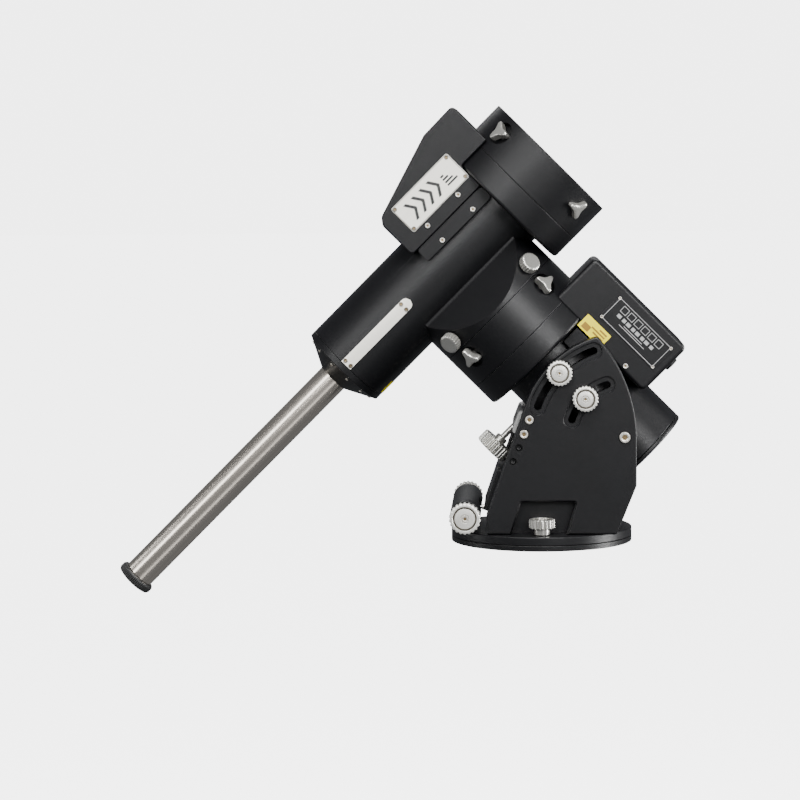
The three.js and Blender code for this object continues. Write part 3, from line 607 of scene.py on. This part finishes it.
def make_turntable():
    disc = ring("turntable_disc", [
        (25.6, BASE_TOP + GAP), (BASE_RADIUS, BASE_TOP + GAP, 0.8), (BASE_RADIUS, TURNTABLE_TOP, 1.2),
        (25.6, TURNTABLE_TOP, 0.8),
    ], 192)
    window = prism("window", rectangle(PUSH_X - 9, PUSH_X + 11, 0, 30), -21.6, 21.6)
    tools = [window]
    for middle in (-math.pi / 2, math.pi / 2):
        swing = math.radians(8)
        outline = arc_slot((0, 0), LOCK_Y, 4.7, middle - swing, middle + swing)
        tools.append(moved(prism("slot", outline, -30, 0), turn(-90, "X"), turn(180, "X")))
    cut(disc, *tools)
    finish_black(bevel(disc, 0.4), "azimuth", nodes=("turntable",))


def make_azimuth_block():
    barrel = moved(rod("azimuth_block_barrel", 19.5, -88, 88, 96, 1.5), OUT_OF_SIDE, shift(0, PUSH_Z, 0))
    moved(barrel, shift(PUSH_X, 0, 0))
    feet = []
    for side in SIDES.values():
        low, high = sorted((side * 26, side * 60))
        feet.append(prism("foot", rectangle(PUSH_X - 2, PUSH_X + 14, 18.3, PUSH_Z - 10, 1), low, high))
    join(barrel, *feet)
    gap = prism("gap", rectangle(PUSH_X - 10, PUSH_X + 30, 0, PUSH_Z + 10, 3), -23, 23)
    cut(barrel, gap)
    finish_black(bevel(barrel, 0.5), "azimuth", nodes=("azimuth_block",))


def make_post_screw():
    """The screw across the top of the post, which shows in the gap beside the cheek."""
    shank = rod("azimuth_post_screw", 2.2, 7, 20, 32)
    place = shift(PUSH_X, 0, PUSH_Z) @ turn(90, "Y")
    finish_piece(shank, "base", SHAFT_STEEL, place)
    add_screw("azimuth_post_screw_head", place @ shift(0, 0, 20), 3.4, 4.5, "base")


def make_azimuth_knobs():
    for where, side in SIDES.items():
        place = shift(PUSH_X, side * 119, PUSH_Z) @ facing(side)
        add_knob(
            f"azimuth_screw_{where}", place, 20, 13,
            collar=9, collar_thick=3, stud=4, stud_length=94,
        )
        lock = shift(0, side * LOCK_Y, 39)
        add_knob(
            f"azimuth_lock_{where}", lock, 16.5, 12, KNOB,
            collar=10, collar_thick=8.4, stud=4, stud_length=15.4, flutes=18,
        )


# ---------- Cheeks ----------
def cheek_outline():
    """A straight foot, a long arc up the right edge, and an arc about the pivot over the top."""
    crown = (-75.1, 139.2)
    tip = (71.7, 268.7)
    shoulder = (-19.9, 190.7)
    low = TURNTABLE_TOP + GAP

    def heading(point, centre):
        return math.atan2(point[1] - centre[1], point[0] - centre[0])
    right = arc(crown, 195, 0, heading(tip, crown))
    top = arc(PIVOT_XZ, 131.6, heading(tip, PIVOT_XZ), heading(shoulder, PIVOT_XZ))
    return [(94.6, low), (119.7, 80.2)] + right + top[1:] + [(-70, 43.8), (-69.4, low)]


def make_cheek(where, side):
    def span(near, far):
        return sorted((side * near, side * far))
    plate = prism(f"cheek_{where}_plate", cheek_outline(), *span(CHEEK_IN, CHEEK_OUT))
    bake(bevel(plate, 2.4, 4, 60))
    tools = []
    middle = math.radians(135)
    for radius in SLOT_RADII:
        reach = SLOT_HALF_ANGLE + (0 if radius == SLOT_RADII[0] else math.radians(1))
        through = arc_slot(PIVOT_XZ, radius, 4.8, middle - reach, middle + reach)
        recess = arc_slot(PIVOT_XZ, radius, 10.2, middle - reach, middle + reach)
        brim = arc_slot(PIVOT_XZ, radius, 11.8, middle - reach, middle + reach)
        tools.append(prism("through", through, *span(CHEEK_IN - 2, CHEEK_OUT + 2)))
        tools.append(prism("recess", recess, *span(CHEEK_OUT - 3, CHEEK_OUT + 2)))
        tools.append(prism("brim", recess, side * (CHEEK_OUT - 1), side * (CHEEK_OUT + 0.6), brim))
    low = TURNTABLE_TOP - 2
    pocket = [(30, low), (44, 60, 4), (-26, 60, 4), (-39.5, low)]
    rim = [(34.5, low - 2), (47.5, 62.5, 5), (-28, 62.5, 5), (-43, low - 2)]
    tools.append(prism("pocket", rounded(pocket), *span(76, CHEEK_OUT + 2)))
    chamfer = (side * (CHEEK_OUT - 2.2), side * (CHEEK_OUT + 0.6))
    tools.append(prism("chamfer", rounded(pocket), *chamfer, rounded(rim)))
    for x, z in PLUG_HOLES:
        hole = moved(rod("hole", 4.4, 84, 99, 32), facing(side))
        tools.append(moved(hole, shift(x, 0, z)))
    for radius, (x, z) in zip((6.4, 6.4, 8.2), (*CROSSBAR_SCREWS, PIVOT_XZ)):
        seat = moved(rod("seat", radius, CHEEK_OUT - SCREW_SEAT, 99, 40), facing(side))
        tools.append(moved(seat, shift(x, 0, z)))
    cut(plate, *tools)
    finish_black(bevel(plate, 0.5), "azimuth", nodes=(f"cheek_{where}",))
    for index, (x, z) in enumerate(CROSSBAR_SCREWS):
        place = shift(x, side * (CHEEK_OUT - SCREW_SEAT), z) @ facing(side)
        add_screw(f"crossbar_screw_{where}_{index}", place, 5.4, 3.4, "azimuth")
    for index, (x, z) in enumerate(PLUG_HOLES):
        place = shift(x, side * 84.2, z) @ facing(side)
        # The plug screws take the darker black copy: painted shade down in their holes.
        plug = screw_head(f"plug_screw_{where}_{index}", 4.2, 3)
        finish_piece(plug, "azimuth", BLACK_PAINTED_SHADE, place)
    place = shift(PIVOT_XZ[0], side * (CHEEK_OUT - SCREW_SEAT), PIVOT_XZ[1]) @ facing(side)
    head = add_screw(f"pivot_screw_{where}", place, 6.9, 4.6, "azimuth", sunk=36)
    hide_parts(f"pivot_bolt_{where}")


def make_cheek_brace():
    """The plate that joins the cheeks along their sloping edge, below the altitude screw's knob."""
    plate = prism("cheek_brace_plate", rectangle(-16.5, -4, 0, 54, 1), -69.7, 69.7)
    moved(plate, shift(-58.2, 0, 42), turn(18.8, "Y"))
    finish_black(bevel(plate, 0.8), "azimuth")


def make_crossbar():
    section = rectangle(-15, 9, -15, 15, 5)
    bar = prism("altitude_crossbar_bar", section, -69.7, 69.7)
    to_polar = POLAR.inverted() @ shift(-18.9, 0, 155.3) @ turn(20.7, "Y")
    moved(bar, to_polar)
    stop = SCREW_FACE_D + SCREW_KNOB_THICK + SCREW_TRAVEL + 2 * GAP

    def room(name, radius, start, end):
        return moved(rod(name, radius, start, end), shift(0, 0, SCREW_T), turn(90, "Y"))
    rooms = [room("knob", 24, stop - 60, stop), room("collar", 9, stop - 1, stop + 7)]
    rooms.append(room("bore", 4.6, -140, 0))
    cut(bar, *rooms, rod("tube", POLAR_RADIUS + 2, 0, 200, 96))
    finish_piece(bevel(bar, 0.8), "azimuth", CASTING, POLAR, nodes=("altitude_crossbar",))


def make_altitude_knobs():
    place = POLAR @ shift(SCREW_FACE_D, 0, SCREW_T) @ turn(-90, "Y")
    add_knob(
        "altitude_screw", place, 22, SCREW_KNOB_THICK, KNOB,
        collar=8, collar_thick=7, stud=4, stud_length=48.9, flutes=24,
    )
    for where, side in SIDES.items():
        for level, radius in zip(("upper", "lower"), SLOT_RADII):
            place = POLAR @ shift(0, side * 106.5, radius) @ facing(side)
            add_knob(
                f"altitude_clamp_{where}_{level}", place, CLAMP_RADIUS, 13,
                collar=8.5, collar_thick=4, stud=4, stud_length=33,
            )


# ---------- Polar axis ----------
def make_polar_housing():
    tube = ring("polar_housing_tube", [
        (36, -34.7), (POLAR_RADIUS, -34.7, 0.8), (POLAR_RADIUS, 141.7), (36, 141.7),
    ])
    bosses = []
    holes = []
    for height in (0, *SLOT_RADII):
        bosses.append(moved(rod("boss", 17, -69, 69, 64, 1), shift(0, 0, height), OUT_OF_SIDE))
        holes.append(moved(rod("hole", 4.3, -99, 99, 32), shift(0, 0, height), OUT_OF_SIDE))
    join(tube, *bosses)
    cut(tube, rod("clear", 36, -100, 200, 128), *holes)
    finish_black(bevel(tube, 0.6), "altitude", POLAR, nodes=("polar_housing",))
    cap = turned("polar_end_cap_disc", [
        (0, -39.5), (POLAR_RADIUS - 9, -39.5, 0.6), (POLAR_RADIUS - 8, -41, 0.6), (POLAR_RADIUS, -41, 3),
        (POLAR_RADIUS, -35.3, 0.7), (0, -35.3),
    ])
    finish_black(cap, "altitude", POLAR, nodes=("polar_end_cap",))
    for index in range(6):
        angle = math.radians(30 + 60 * index)
        place = POLAR @ shift(50 * math.cos(angle), 50 * math.sin(angle), -39.3) @ turn(180, "X")
        add_screw(f"polar_cap_screw_{index}", place, 3.2, 1.5, "altitude")


def wheel_cup(name, span, radius, worm_side):
    """The cup round a worm wheel, open at the top, with a window for the worm."""
    low, high = span
    top = high - 0.15
    cup = ring(name, [
        (36, low), (radius, low, 4.5), (radius, top, 0.7), (81, top), (81, low + 8), (36, low + 8),
    ], 192)
    reach = sorted((worm_side * 72, worm_side * 130))
    window = prism("window", rectangle(*reach, low - 2, high + 2), -50, 58)
    return bevel(cut(cup, window), 0.4)


def make_ra_housing():
    cup = wheel_cup("ra_wheel_housing_cup", WHEEL_T, RING_RADIUS, 1)
    finish_black(cup, "altitude", POLAR, nodes=("ra_wheel_housing",))
    shell = prism("ra_drive_box_shell", rectangle(*RA_BOX_D, *RA_BOX_T, 8), -BOX_HALF, BOX_HALF)
    bake(bevel(shell, 5, 4, 60))
    inside = rectangle(40, RA_BOX_D[1] - BOX_WALL, RA_BOX_T[0] + BOX_WALL, 174.4)
    hollow = prism("hollow", inside, BOX_WALL - BOX_HALF, BOX_HALF - BOX_WALL)
    tube = rod("tube", POLAR_RADIUS + GAP, 0, 250, 128)
    rings = rod("rings", RING_RADIUS + 1, WHEEL_T[0] - GAP, 250, 192)
    cut(shell, hollow, tube, rings)
    finish_black(bevel(shell, 0.6), "altitude", POLAR, nodes=("ra_drive_box",))


def bar_motif(name, bars, y, body, place, material):
    """Short raised bars that stand in for lettering, or for a painted shadow line. A bar is (x0, x1, z0,
    z1).
    """
    bm = bmesh.new()
    for x0, x1, z0, z1 in bars:
        corners = [(x0, z0), (x1, z0), (x1, z1), (x0, z1)]
        front = [bm.verts.new((x * MM, (y - 0.25) * MM, z * MM)) for x, z in corners]
        back = [bm.verts.new((x * MM, y * MM, z * MM)) for x, z in corners]
        bm.faces.new(front)
        bm.faces.new(back[::-1])
        for index in range(4):
            after = (index + 1) % 4
            bm.faces.new((front[index], back[index], back[after], front[after]))
    return finish_piece(new_object(name, bm), body, material, place)


def chevron_bars(x, z0, z1, reach, width, steps=8):
    """Two slanting strokes that meet in a point, as stacked short bars."""
    rise = (z1 - z0) / (2 * steps)
    bars = []
    for index in range(2 * steps):
        out = reach * (1 - abs(index + 0.5 - steps) / steps)
        bars.append((x + out, x + out + width, z0 + index * rise, z0 + (index + 1) * rise))
    return bars


def outline_bars(x0, x1, z0, z1, width):
    """Four bars round a rectangle."""
    return [
        (x0, x1, z0, z0 + width), (x0, x1, z1 - width, z1),
        (x0, x0 + width, z0 + width, z1 - width), (x1 - width, x1, z0 + width, z1 - width),
    ]


def make_ra_plates():
    """The polar drive box's nameplate with its pattern, its label, its cable block and its screw."""
    back = -BOX_HALF - GAP
    face = back - PLATE_THICK
    line = 0.7
    plate = prism("ra_nameplate_plate", rectangle(84.5, 122.1, 33.2, 129.4, 2), face, back)
    finish_black(bevel(plate, 0.3, 2), "altitude", POLAR, nodes=("ra_nameplate",))
    bars = outline_bars(86.2, 120.4, 36.5, 126.1, line)
    for index in range(6):
        low = 46 + 12 * index
        bars += outline_bars(108, 117, low, low + 9.5, line)
    bars += [(100.5, 105, 52 + 8 * index, 57 + 8 * index + index % 2) for index in range(8)]
    bars += [(94.5 + 2.6 * row, 95.3 + 2.6 * row, 60 + 6 * row, 104 - 6 * row) for row in range(2)]
    bar_motif("ra_nameplate_lines", bars, face, "altitude", POLAR, ENGRAVED)
    for index, (d, t) in enumerate(((87, 36), (119.6, 36), (87, 126.6), (119.6, 126.6))):
        place = POLAR @ shift(d, face, t) @ facing(-1)
        add_screw(f"ra_nameplate_screw_{index}", place, 2.1, 1.2, "altitude")
    label = prism("ra_label", rectangle(57.5, 77.5, 100, 141, 1), -BOX_HALF - 0.4, -BOX_HALF)
    finish_piece(label, "altitude", LABEL, POLAR)
    block = prism("ra_cable_block_body", rectangle(30, 55, 118, 139, 2), -BOX_HALF, -44)
    finish_black(bevel(block, 0.8), "altitude", POLAR)
    lines = [(60 + 4 * column, 62 + 4 * column, 104, 116 + 5 * (column % 3)) for column in range(4)]
    lines += [(60, 68, 126, 137)]
    bar_motif("ra_label_lines", lines, -BOX_HALF - 0.4, "altitude", POLAR, INK)
    place = POLAR @ shift(63.5, -BOX_HALF, 61) @ facing(-1)
    add_screw("ra_box_screw", place, 3.2, 1.6, "altitude")


def make_connectors():
    """Three round sockets with five pins each, under the polar drive box."""
    for index, (y, radius) in enumerate(((-30, 9), (0, 7), (26, 7))):
        place = POLAR @ shift(105, y, RA_BOX_T[0]) @ turn(180, "X")
        socket = lofted(f"ra_connector_{index}", [
            (0, -1), (radius, -1), (radius, 4.4), (radius - 0.5, 5.0), (radius - 1.8, 5.0),
            (radius - 2.2, 4.6), (radius - 2.2, -0.5), (0, -0.5),
        ], 48)
        finish_piece(socket, "altitude", POLYMER, place)
        for pin in range(5):
            angle = math.radians(72 * pin)
            tip = rod(f"ra_connector_{index}_pin_{pin}", 0.7, -0.6, 1.6, 12, 0.3)
            moved(tip, shift(2.8 * math.cos(angle), 2.8 * math.sin(angle), 0))
            finish_piece(tip, "altitude", SOCKET, place)


def star_tools(radius, z):
    """A recess and a screw hole for each three-armed knob round a drum of that radius."""
    tools = []
    for angle in KNOB_ANGLES:
        tools.append(moved(rod("recess", 15.5, 0, 40, 64), outward(radius - STAR_SINK, angle, z)))
        tools.append(moved(rod("hole", 3.3, -30, 10, 24), outward(radius - STAR_SINK, angle, z)))
    return tools


def make_clutch_ring():
    low, high = CLUTCH_T
    body = ring("ra_clutch_ring_body", [
        (50.3, low), (RING_RADIUS, low, 0.7), (RING_RADIUS, high - 0.3, 0.7), (50.3, high - 0.3),
    ], 192)
    cut(body, *star_tools(RING_RADIUS, CLUTCH_KNOB_T))
    bevel(body, 0.5)
    finish_black(body, "right_ascension", POLAR, nodes=("ra_clutch_ring",))


# ---------- Declination axis ----------
def along_dec(piece):
    """A piece drawn up Z then lies along the declination axis, in the polar frame."""
    return moved(piece, shift(0, 0, DEC_T), turn(90, "Y"))


def make_dec_housing():
    flange = turned("dec_housing_casting", [
        (0, FLANGE_LOW), (RING_RADIUS, FLANGE_LOW, 0.7), (RING_RADIUS, DEC_T), (0, DEC_T),
    ], 192)
    tools = [prism("end", rectangle(92, 200, 150, 450), -100, 100)]
    far = RING_RADIUS + 60
    for side in SIDES.values():
        corners = ((far, 229), (RING_RADIUS, 229), (47, 274), (47, far + DEC_T), (far, far + DEC_T))
        trim = prism("trim", [(side * y, t) for y, t in corners], -150, 150)
        tools.append(moved(trim, turn(90, "Z")))
    cut(flange, *tools)
    tube = along_dec(rod("tube", DEC_RADIUS, TUBE_D[0] + GAP, TUBE_D[1] - GAP, 192, 0.6))
    pads = prism("pads", rectangle(-18, 96, 332, 350.7, 4), -62, 62)
    join(flange, tube, pads)
    bore = along_dec(rod("bore", 36, -400, 400, 96))
    neck = rod("neck", 31, 0, DEC_T, 96)
    studs = []
    for angle in KNOB_ANGLES:
        studs.append(moved(rod("stud", 3.3, -20, 10, 24), outward(RING_RADIUS, angle, THUMB_KNOB_T)))
    cut(flange, bore, neck, *studs)
    bevel(flange, 0.7)
    finish_black(flange, "right_ascension", POLAR, nodes=("dec_housing",))


def make_dec_ends():
    cone = ring("dec_end_cone_body", [
        (14, BAR_D[1]), (CONE_TIP, BAR_D[1], 0.8), (*CONE_EDGE, 2), (DEC_RADIUS, -195, 1),
        (DEC_RADIUS, TUBE_D[0], 0.6), (35, TUBE_D[0]), (35, -182.2, 0.5), (14, -182.2),
    ], 160)
    finish_black(cone, "right_ascension", DECLINATION, nodes=("dec_end_cone",))
    slope = math.degrees(math.atan2(CONE_EDGE[0] - CONE_TIP, CONE_EDGE[1] - BAR_D[1]))
    for index in range(CONE_SCREWS):
        around = turn((index + 0.5) * 360 / CONE_SCREWS, "Z")
        place = DECLINATION @ around @ shift(52, 0, -198.7) @ turn(90 + slope, "Y")
        add_screw(f"dec_cone_screw_{index}", place, 2.1, 1.0, "right_ascension")
    bar = turned("counterweight_bar_rod", [
        (0, BAR_D[0] + GAP), (BAR_RADIUS, BAR_D[0] + GAP), (BAR_RADIUS, BAR_D[1] - GAP),
        (14 - GAP, BAR_D[1] - GAP), (14 - GAP, TUBE_D[0]), (0, TUBE_D[0]),
    ], 160)
    finish_piece(bar, "right_ascension", STAINLESS, DECLINATION, nodes=("counterweight_bar",))
    end, face = STOP_D
    rim = fluted(25, 0.9, 60)
    stop = lofted("bar_stop_disc", [
        (0, end + 1), (15, end + 1), (16, end), (21, end), (23.4, end + 0.8), (24.2, end + 2),
        (rim, end + 3.2), (rim, face - 3.4), (24.2, face - 2.2), (23.4, face - 1), (20.6, face - GAP),
        (0, face - GAP),
    ], 480)
    finish_piece(stop, "right_ascension", POLYMER, DECLINATION, nodes=("bar_stop",))


def dec_box_outline():
    return rounded([
        (97.7, 351.5), (97.7, 386.4), (143, 386.4, 2), (143, 448, 6), (91.3, 447.3, 12), (-19.5, 413.4, 10),
        (-26.8, 404, 8), (-26.8, 351.5, 6),
    ])


def make_dec_box():
    cup = wheel_cup("dec_wheel_housing_cup", DEC_WHEEL_D, HEAD_RADIUS, -1)
    finish_black(cup, "right_ascension", DECLINATION, nodes=("dec_wheel_housing",))
    shell = prism("dec_drive_box_shell", dec_box_outline(), -DEC_BOX_HALF, DEC_BOX_HALF)
    bake(bevel(shell, 5, 4, 50))
    cavity = rounded([
        (-19, 340), (92.7, 340), (92.7, 376), (138, 376), (138, 442), (92, 441), (-19, 407),
    ])
    tools = [
        prism("cavity", cavity, BOX_WALL - DEC_BOX_HALF, DEC_BOX_HALF - BOX_WALL),
        along_dec(rod("tube", DEC_RADIUS + GAP, -100, 250, 192)),
        along_dec(rod("rings", HEAD_RADIUS + 1, DEC_WHEEL_D[0] - 1, 250, 192)),
    ]
    cut(shell, *tools)
    bevel(shell, 0.6)
    finish_black(shell, "right_ascension", POLAR, nodes=("dec_drive_box",))


def make_dec_plates():
    """The declination drive box's brushed plate with its pattern, a painted shadow line round its edge, and
    its screws.
    """
    back = -DEC_BOX_HALF - PLATE_GAP
    face = back - PLATE_THICK
    plate = prism("dec_series_plate", rectangle(-4.5, 95.2, 369.9, 411.1, 2), face, back)
    finish_piece(bevel(plate, 0.35, 2), "right_ascension", PLATE, POLAR)
    for index, (d, t) in enumerate(((-0.8, 373.6), (91.5, 373.6), (-0.8, 407.4), (91.5, 407.4))):
        place = POLAR @ shift(d, face, t) @ facing(-1)
        # The corner screws take the dark steel tone: painted shade on stainless heads.
        add_screw(f"dec_series_screw_{index}", place, 2.7, 1.2, "right_ascension", material=SHADED_STEEL)
    bars = []
    for index in range(4):
        bars += chevron_bars(9 + 13.5 * index, 378, 403, 8, 4.6)
    bars += [(68, 85 - 4 * row, 380 + 4.4 * row, 382.4 + 4.4 * row) for row in range(4)]
    # A dark line round the plate's edge: painted shadow of the edge.
    bars += outline_bars(-3.9, 94.6, 370.5, 410.5, 0.6)
    bar_motif("dec_series_lines", bars, face, "right_ascension", POLAR, ETCHED_AND_SHADOW)
    for index, (d, t) in enumerate(((13.8, 363.8), (68.5, 363.8), (13.8, 337.7), (68.5, 337.7))):
        depth = DEC_BOX_HALF if t > 351 else 62
        place = POLAR @ shift(d, -depth, t) @ facing(-1)
        add_screw(f"dec_box_screw_{index}", place, 3.2, 1.8, "right_ascension")


def curved_plate(name, span, half, middle, thick, rounded_end=True):
    """A thin plate bent round the declination tube, its middle line at an angle from the near side."""
    left, right = span
    columns, rows = 60, 12

    def layer(radius):
        grid = []
        for column in range(columns + 1):
            d = left + (right - left) * column / columns
            beyond = max(0.0, d - (right - half)) if rounded_end else 0.0
            reach = math.sqrt(max(half**2 - beyond**2, 0.2))
            line = []
            for row in range(rows + 1):
                angle = math.radians(middle) + (2 * row / rows - 1) * reach / radius
                point = Vector((radius * math.sin(angle), -radius * math.cos(angle), d))
                line.append(bm.verts.new(point * MM))
            grid.append(line)
        return grid

    bm = bmesh.new()
    low, high = layer(DEC_RADIUS + 0.05), layer(DEC_RADIUS + thick)
    for grid in (low, high):
        for here, beside in zip(grid, grid[1:]):
            for row in range(rows):
                bm.faces.new((here[row], beside[row], beside[row + 1], here[row + 1]))
    rim = [(column, 0) for column in range(columns)] + [(columns, row) for row in range(rows)]
    rim += [(column, rows) for column in range(columns, 0, -1)] + [(0, row) for row in range(rows, 0, -1)]
    for (column, row), (after, beside) in zip(rim, rim[1:] + rim[:1]):
        bm.faces.new((low[column][row], low[after][beside], high[after][beside], high[column][row]))
    return new_object(name, bm)


def make_tube_plates():
    strip = curved_plate("dec_scale_strip", (-186, -69), 7.8, 0, STRIP_THICK)
    finish_piece(strip, "right_ascension", PLATE, DECLINATION)
    label = curved_plate("dec_tube_label", (-183, -163), 12, 85, 0.3, rounded_end=False)
    finish_piece(label, "right_ascension", LABEL, DECLINATION)
    outer = DEC_RADIUS + STRIP_THICK
    for index, (d, across) in enumerate(((-182, -4.6), (-182, 4.6), (-81, -4.6), (-81, 4.6))):
        place = DECLINATION @ Matrix.Rotation(across / outer, 4, "Z") @ shift(0, -outer, d) @ facing(-1)
        name = f"dec_strip_screw_{index}"
        # The strip's screws take the dark steel tone: painted shade on stainless heads.
        add_screw(name, place, 2.8, 1.0, "right_ascension", material=SHADED_STEEL)


def make_saddle():
    low, face = SADDLE_D
    body = turned("saddle_flange_body", [
        (0, face - 6), (50.3, face - 6), (50.3, low), (HEAD_RADIUS, low, 0.7), (HEAD_RADIUS, face, 1.2),
        (0, face),
    ], 192)
    tools = star_tools(HEAD_RADIUS, SADDLE_KNOB_D)
    for index in range(SADDLE_BOLTS):
        place = turn(index * 360 / SADDLE_BOLTS, "Z") @ shift(SADDLE_BOLT_RADIUS, 0, 0)
        tools.append(moved(rod("hole", 4, face - 14, face + 2, 32), place))
    cut(body, *tools)
    bevel(body, 0.5)
    finish_black(body, "declination", DECLINATION, nodes=("saddle_flange",))


def make_ring_knobs():
    for angle, where in zip(KNOB_ANGLES, CORNERS):
        name = f"ra_clutch_knob_{where}"
        place = POLAR @ outward(RING_RADIUS - STAR_SINK, angle, CLUTCH_KNOB_T)
        knob = star_knob(name + "_star", 14, 14, RA_SPINS[where])
        finish_piece(knob, name, KNOB, place, nodes=(name,))
        name = f"dec_clutch_knob_{where}"
        place = DECLINATION @ outward(HEAD_RADIUS - STAR_SINK, angle, SADDLE_KNOB_D)
        knob = star_knob(name + "_star", 14, 14, DEC_SPINS[where])
        finish_piece(knob, name, KNOB, place, nodes=(name,))
        name = f"ra_thumb_knob_{where}"
        place = POLAR @ outward(RING_RADIUS + 14, angle, THUMB_KNOB_T)
        knob = knurled_knob(name + "_knob", 12.85, 11.5, 8, 1.5, 3, 16, flutes=20, dished=False)
        finish_piece(knob, name, KNOB, place, nodes=(name,))


# ---------- Inner pieces keep their CAD shapes ----------
def finish_inner_nodes():
    looks = {
        "shaft": SHAFT_STEEL, "bearing": SHAFT_STEEL, "worm": SHAFT_STEEL, "worm_wheel": BRONZE,
        "motor": MOTOR_COAT, "belt": BELT,
    }
    for name, node in frame["nodes"].items():
        for word, material in looks.items():
            if word in name and not node.hide_render:
                node.data.materials.clear()
                node.data.materials.append(material)


# ---------- Studio ----------
PAPER_GLOW = 4.5
ROOM_GLOW = 0.16
FLOOR_HALF = 40.0
FLOOR_HEIGHT = -0.8
AIM = Vector((-0.15, 0, 0.25))
# Each soft box's name, place, width and height, power in watts, and how far it is turned in its own plane.
SOFT_BOXES = (
    ("left_front_box", (-1.45, -1.60, 0.92), (1.5, 0.5), 14, 45),
    ("middle_front_box", (-0.55, -1.80, 0.78), (0.35, 0.35), 10, 0),
    ("right_front_box", (0.60, -1.80, 0.95), (0.6, 0.8), 27, 0),
    ("lower_right_box", (0.95, -1.75, 0.66), (0.35, 0.35), 7, 0),
    ("high_front_box", (-0.2, -1.3, 2.1), (1.2, 0.7), 72, 0),
    ("low_front_box", (0.35, -1.9, -0.75), (1.6, 0.4), 3.2, 45),
    ("right_box", (2.0, -0.15, 0.25), (0.4, 1.6), 80, 0),
    ("left_box", (-2.2, -0.15, 0.3), (0.3, 1.4), 9, 0),
    ("back_box", (-0.1, 1.7, 1.6), (1.6, 0.9), 14, 0),
)
LENS = 123.4
CAMERA_PLACE = (-0.0232, -3.5346, 0.5039)
CAMERA_TURN = (1.4800, 0.0080, 0.0443)


def make_floor():
    """A pale floor well below the mount, which shows to the camera but doesn't throw light back up at it."""
    signs = ((-1, -1), (1, -1), (1, 1), (-1, 1))
    corners = [(x * FLOOR_HALF, y * FLOOR_HALF, FLOOR_HEIGHT) for x, y in signs]
    mesh = bpy.data.meshes.new("studio_floor")
    mesh.from_pydata(corners, [], [(0, 1, 2, 3)])
    floor = bpy.data.objects.new("studio_floor", mesh)
    bpy.context.collection.objects.link(floor)
    shader = Shader("studio_paper", (0.9, 0.9, 0.9), 0.0, 0.9)
    shader.color(shader.blend(shader.noise(3, 2), (0.93, 0.93, 0.93), (0.95, 0.95, 0.95)))
    shader.surface.inputs["Emission Color"].default_value = (1, 1, 1, 1)
    shader.surface.inputs["Emission Strength"].default_value = PAPER_GLOW
    mesh.materials.append(shader.material)
    floor.visible_diffuse = False
    floor.visible_glossy = False


def add_light(name, position, size, power, slant):
    """A soft box of that width and height, aimed at the mount and turned in its own plane by the slant."""
    light = bpy.data.lights.new(name, "AREA")
    light.shape = "RECTANGLE"
    light.size, light.size_y = size
    light.energy = power
    lamp = bpy.data.objects.new(name, light)
    lamp.location = position
    lamp.rotation_mode = "QUATERNION"
    facing_mount = (AIM - Vector(position)).to_track_quat("-Z", "Y")
    lamp.rotation_quaternion = facing_mount @ Quaternion((0, 0, 1), math.radians(slant))
    lamp.visible_camera = False
    bpy.context.collection.objects.link(lamp)


def make_studio():
    """White paper behind the mount, and a dim room around it that the soft boxes light."""
    world = bpy.data.worlds.new("studio")
    world.use_nodes = True
    tree = world.node_tree
    room = tree.nodes["Background"]
    room.inputs["Color"].default_value = (0.9, 0.94, 1.0, 1)
    room.inputs["Strength"].default_value = ROOM_GLOW
    paper = tree.nodes.new("ShaderNodeBackground")
    paper.inputs["Color"].default_value = (1, 1, 1, 1)
    paper.inputs["Strength"].default_value = PAPER_GLOW
    mix = tree.nodes.new("ShaderNodeMixShader")
    seen = tree.nodes.new("ShaderNodeLightPath")
    tree.links.new(seen.outputs["Is Camera Ray"], mix.inputs["Fac"])
    tree.links.new(room.outputs[0], mix.inputs[1])
    tree.links.new(paper.outputs[0], mix.inputs[2])
    tree.links.new(mix.outputs[0], tree.nodes["World Output"].inputs["Surface"])
    bpy.context.scene.world = world
    for soft_box in SOFT_BOXES:
        add_light(*soft_box)


def make_camera():
    """A long lens that faces the mount's near side from a little above its base."""
    camera = bpy.data.objects.new("camera", bpy.data.cameras.new("camera"))
    camera.data.lens = LENS
    camera.data.sensor_width = 36
    camera.location = CAMERA_PLACE
    camera.rotation_euler = CAMERA_TURN
    camera.data.clip_start = 0.05
    camera.data.clip_end = 200
    bpy.context.collection.objects.link(camera)
    bpy.context.scene.camera = camera


make_camera()
make_studio()
make_floor()
make_base()
make_turntable()
make_azimuth_block()
make_post_screw()
make_azimuth_knobs()
for where, side in SIDES.items():
    make_cheek(where, side)
make_cheek_brace()
make_crossbar()
make_altitude_knobs()
make_polar_housing()
make_ra_housing()
make_ra_plates()
make_connectors()
make_clutch_ring()
make_dec_housing()
make_dec_ends()
make_dec_box()
make_dec_plates()
make_tube_plates()
make_saddle()
make_ring_knobs()
finish_inner_nodes()
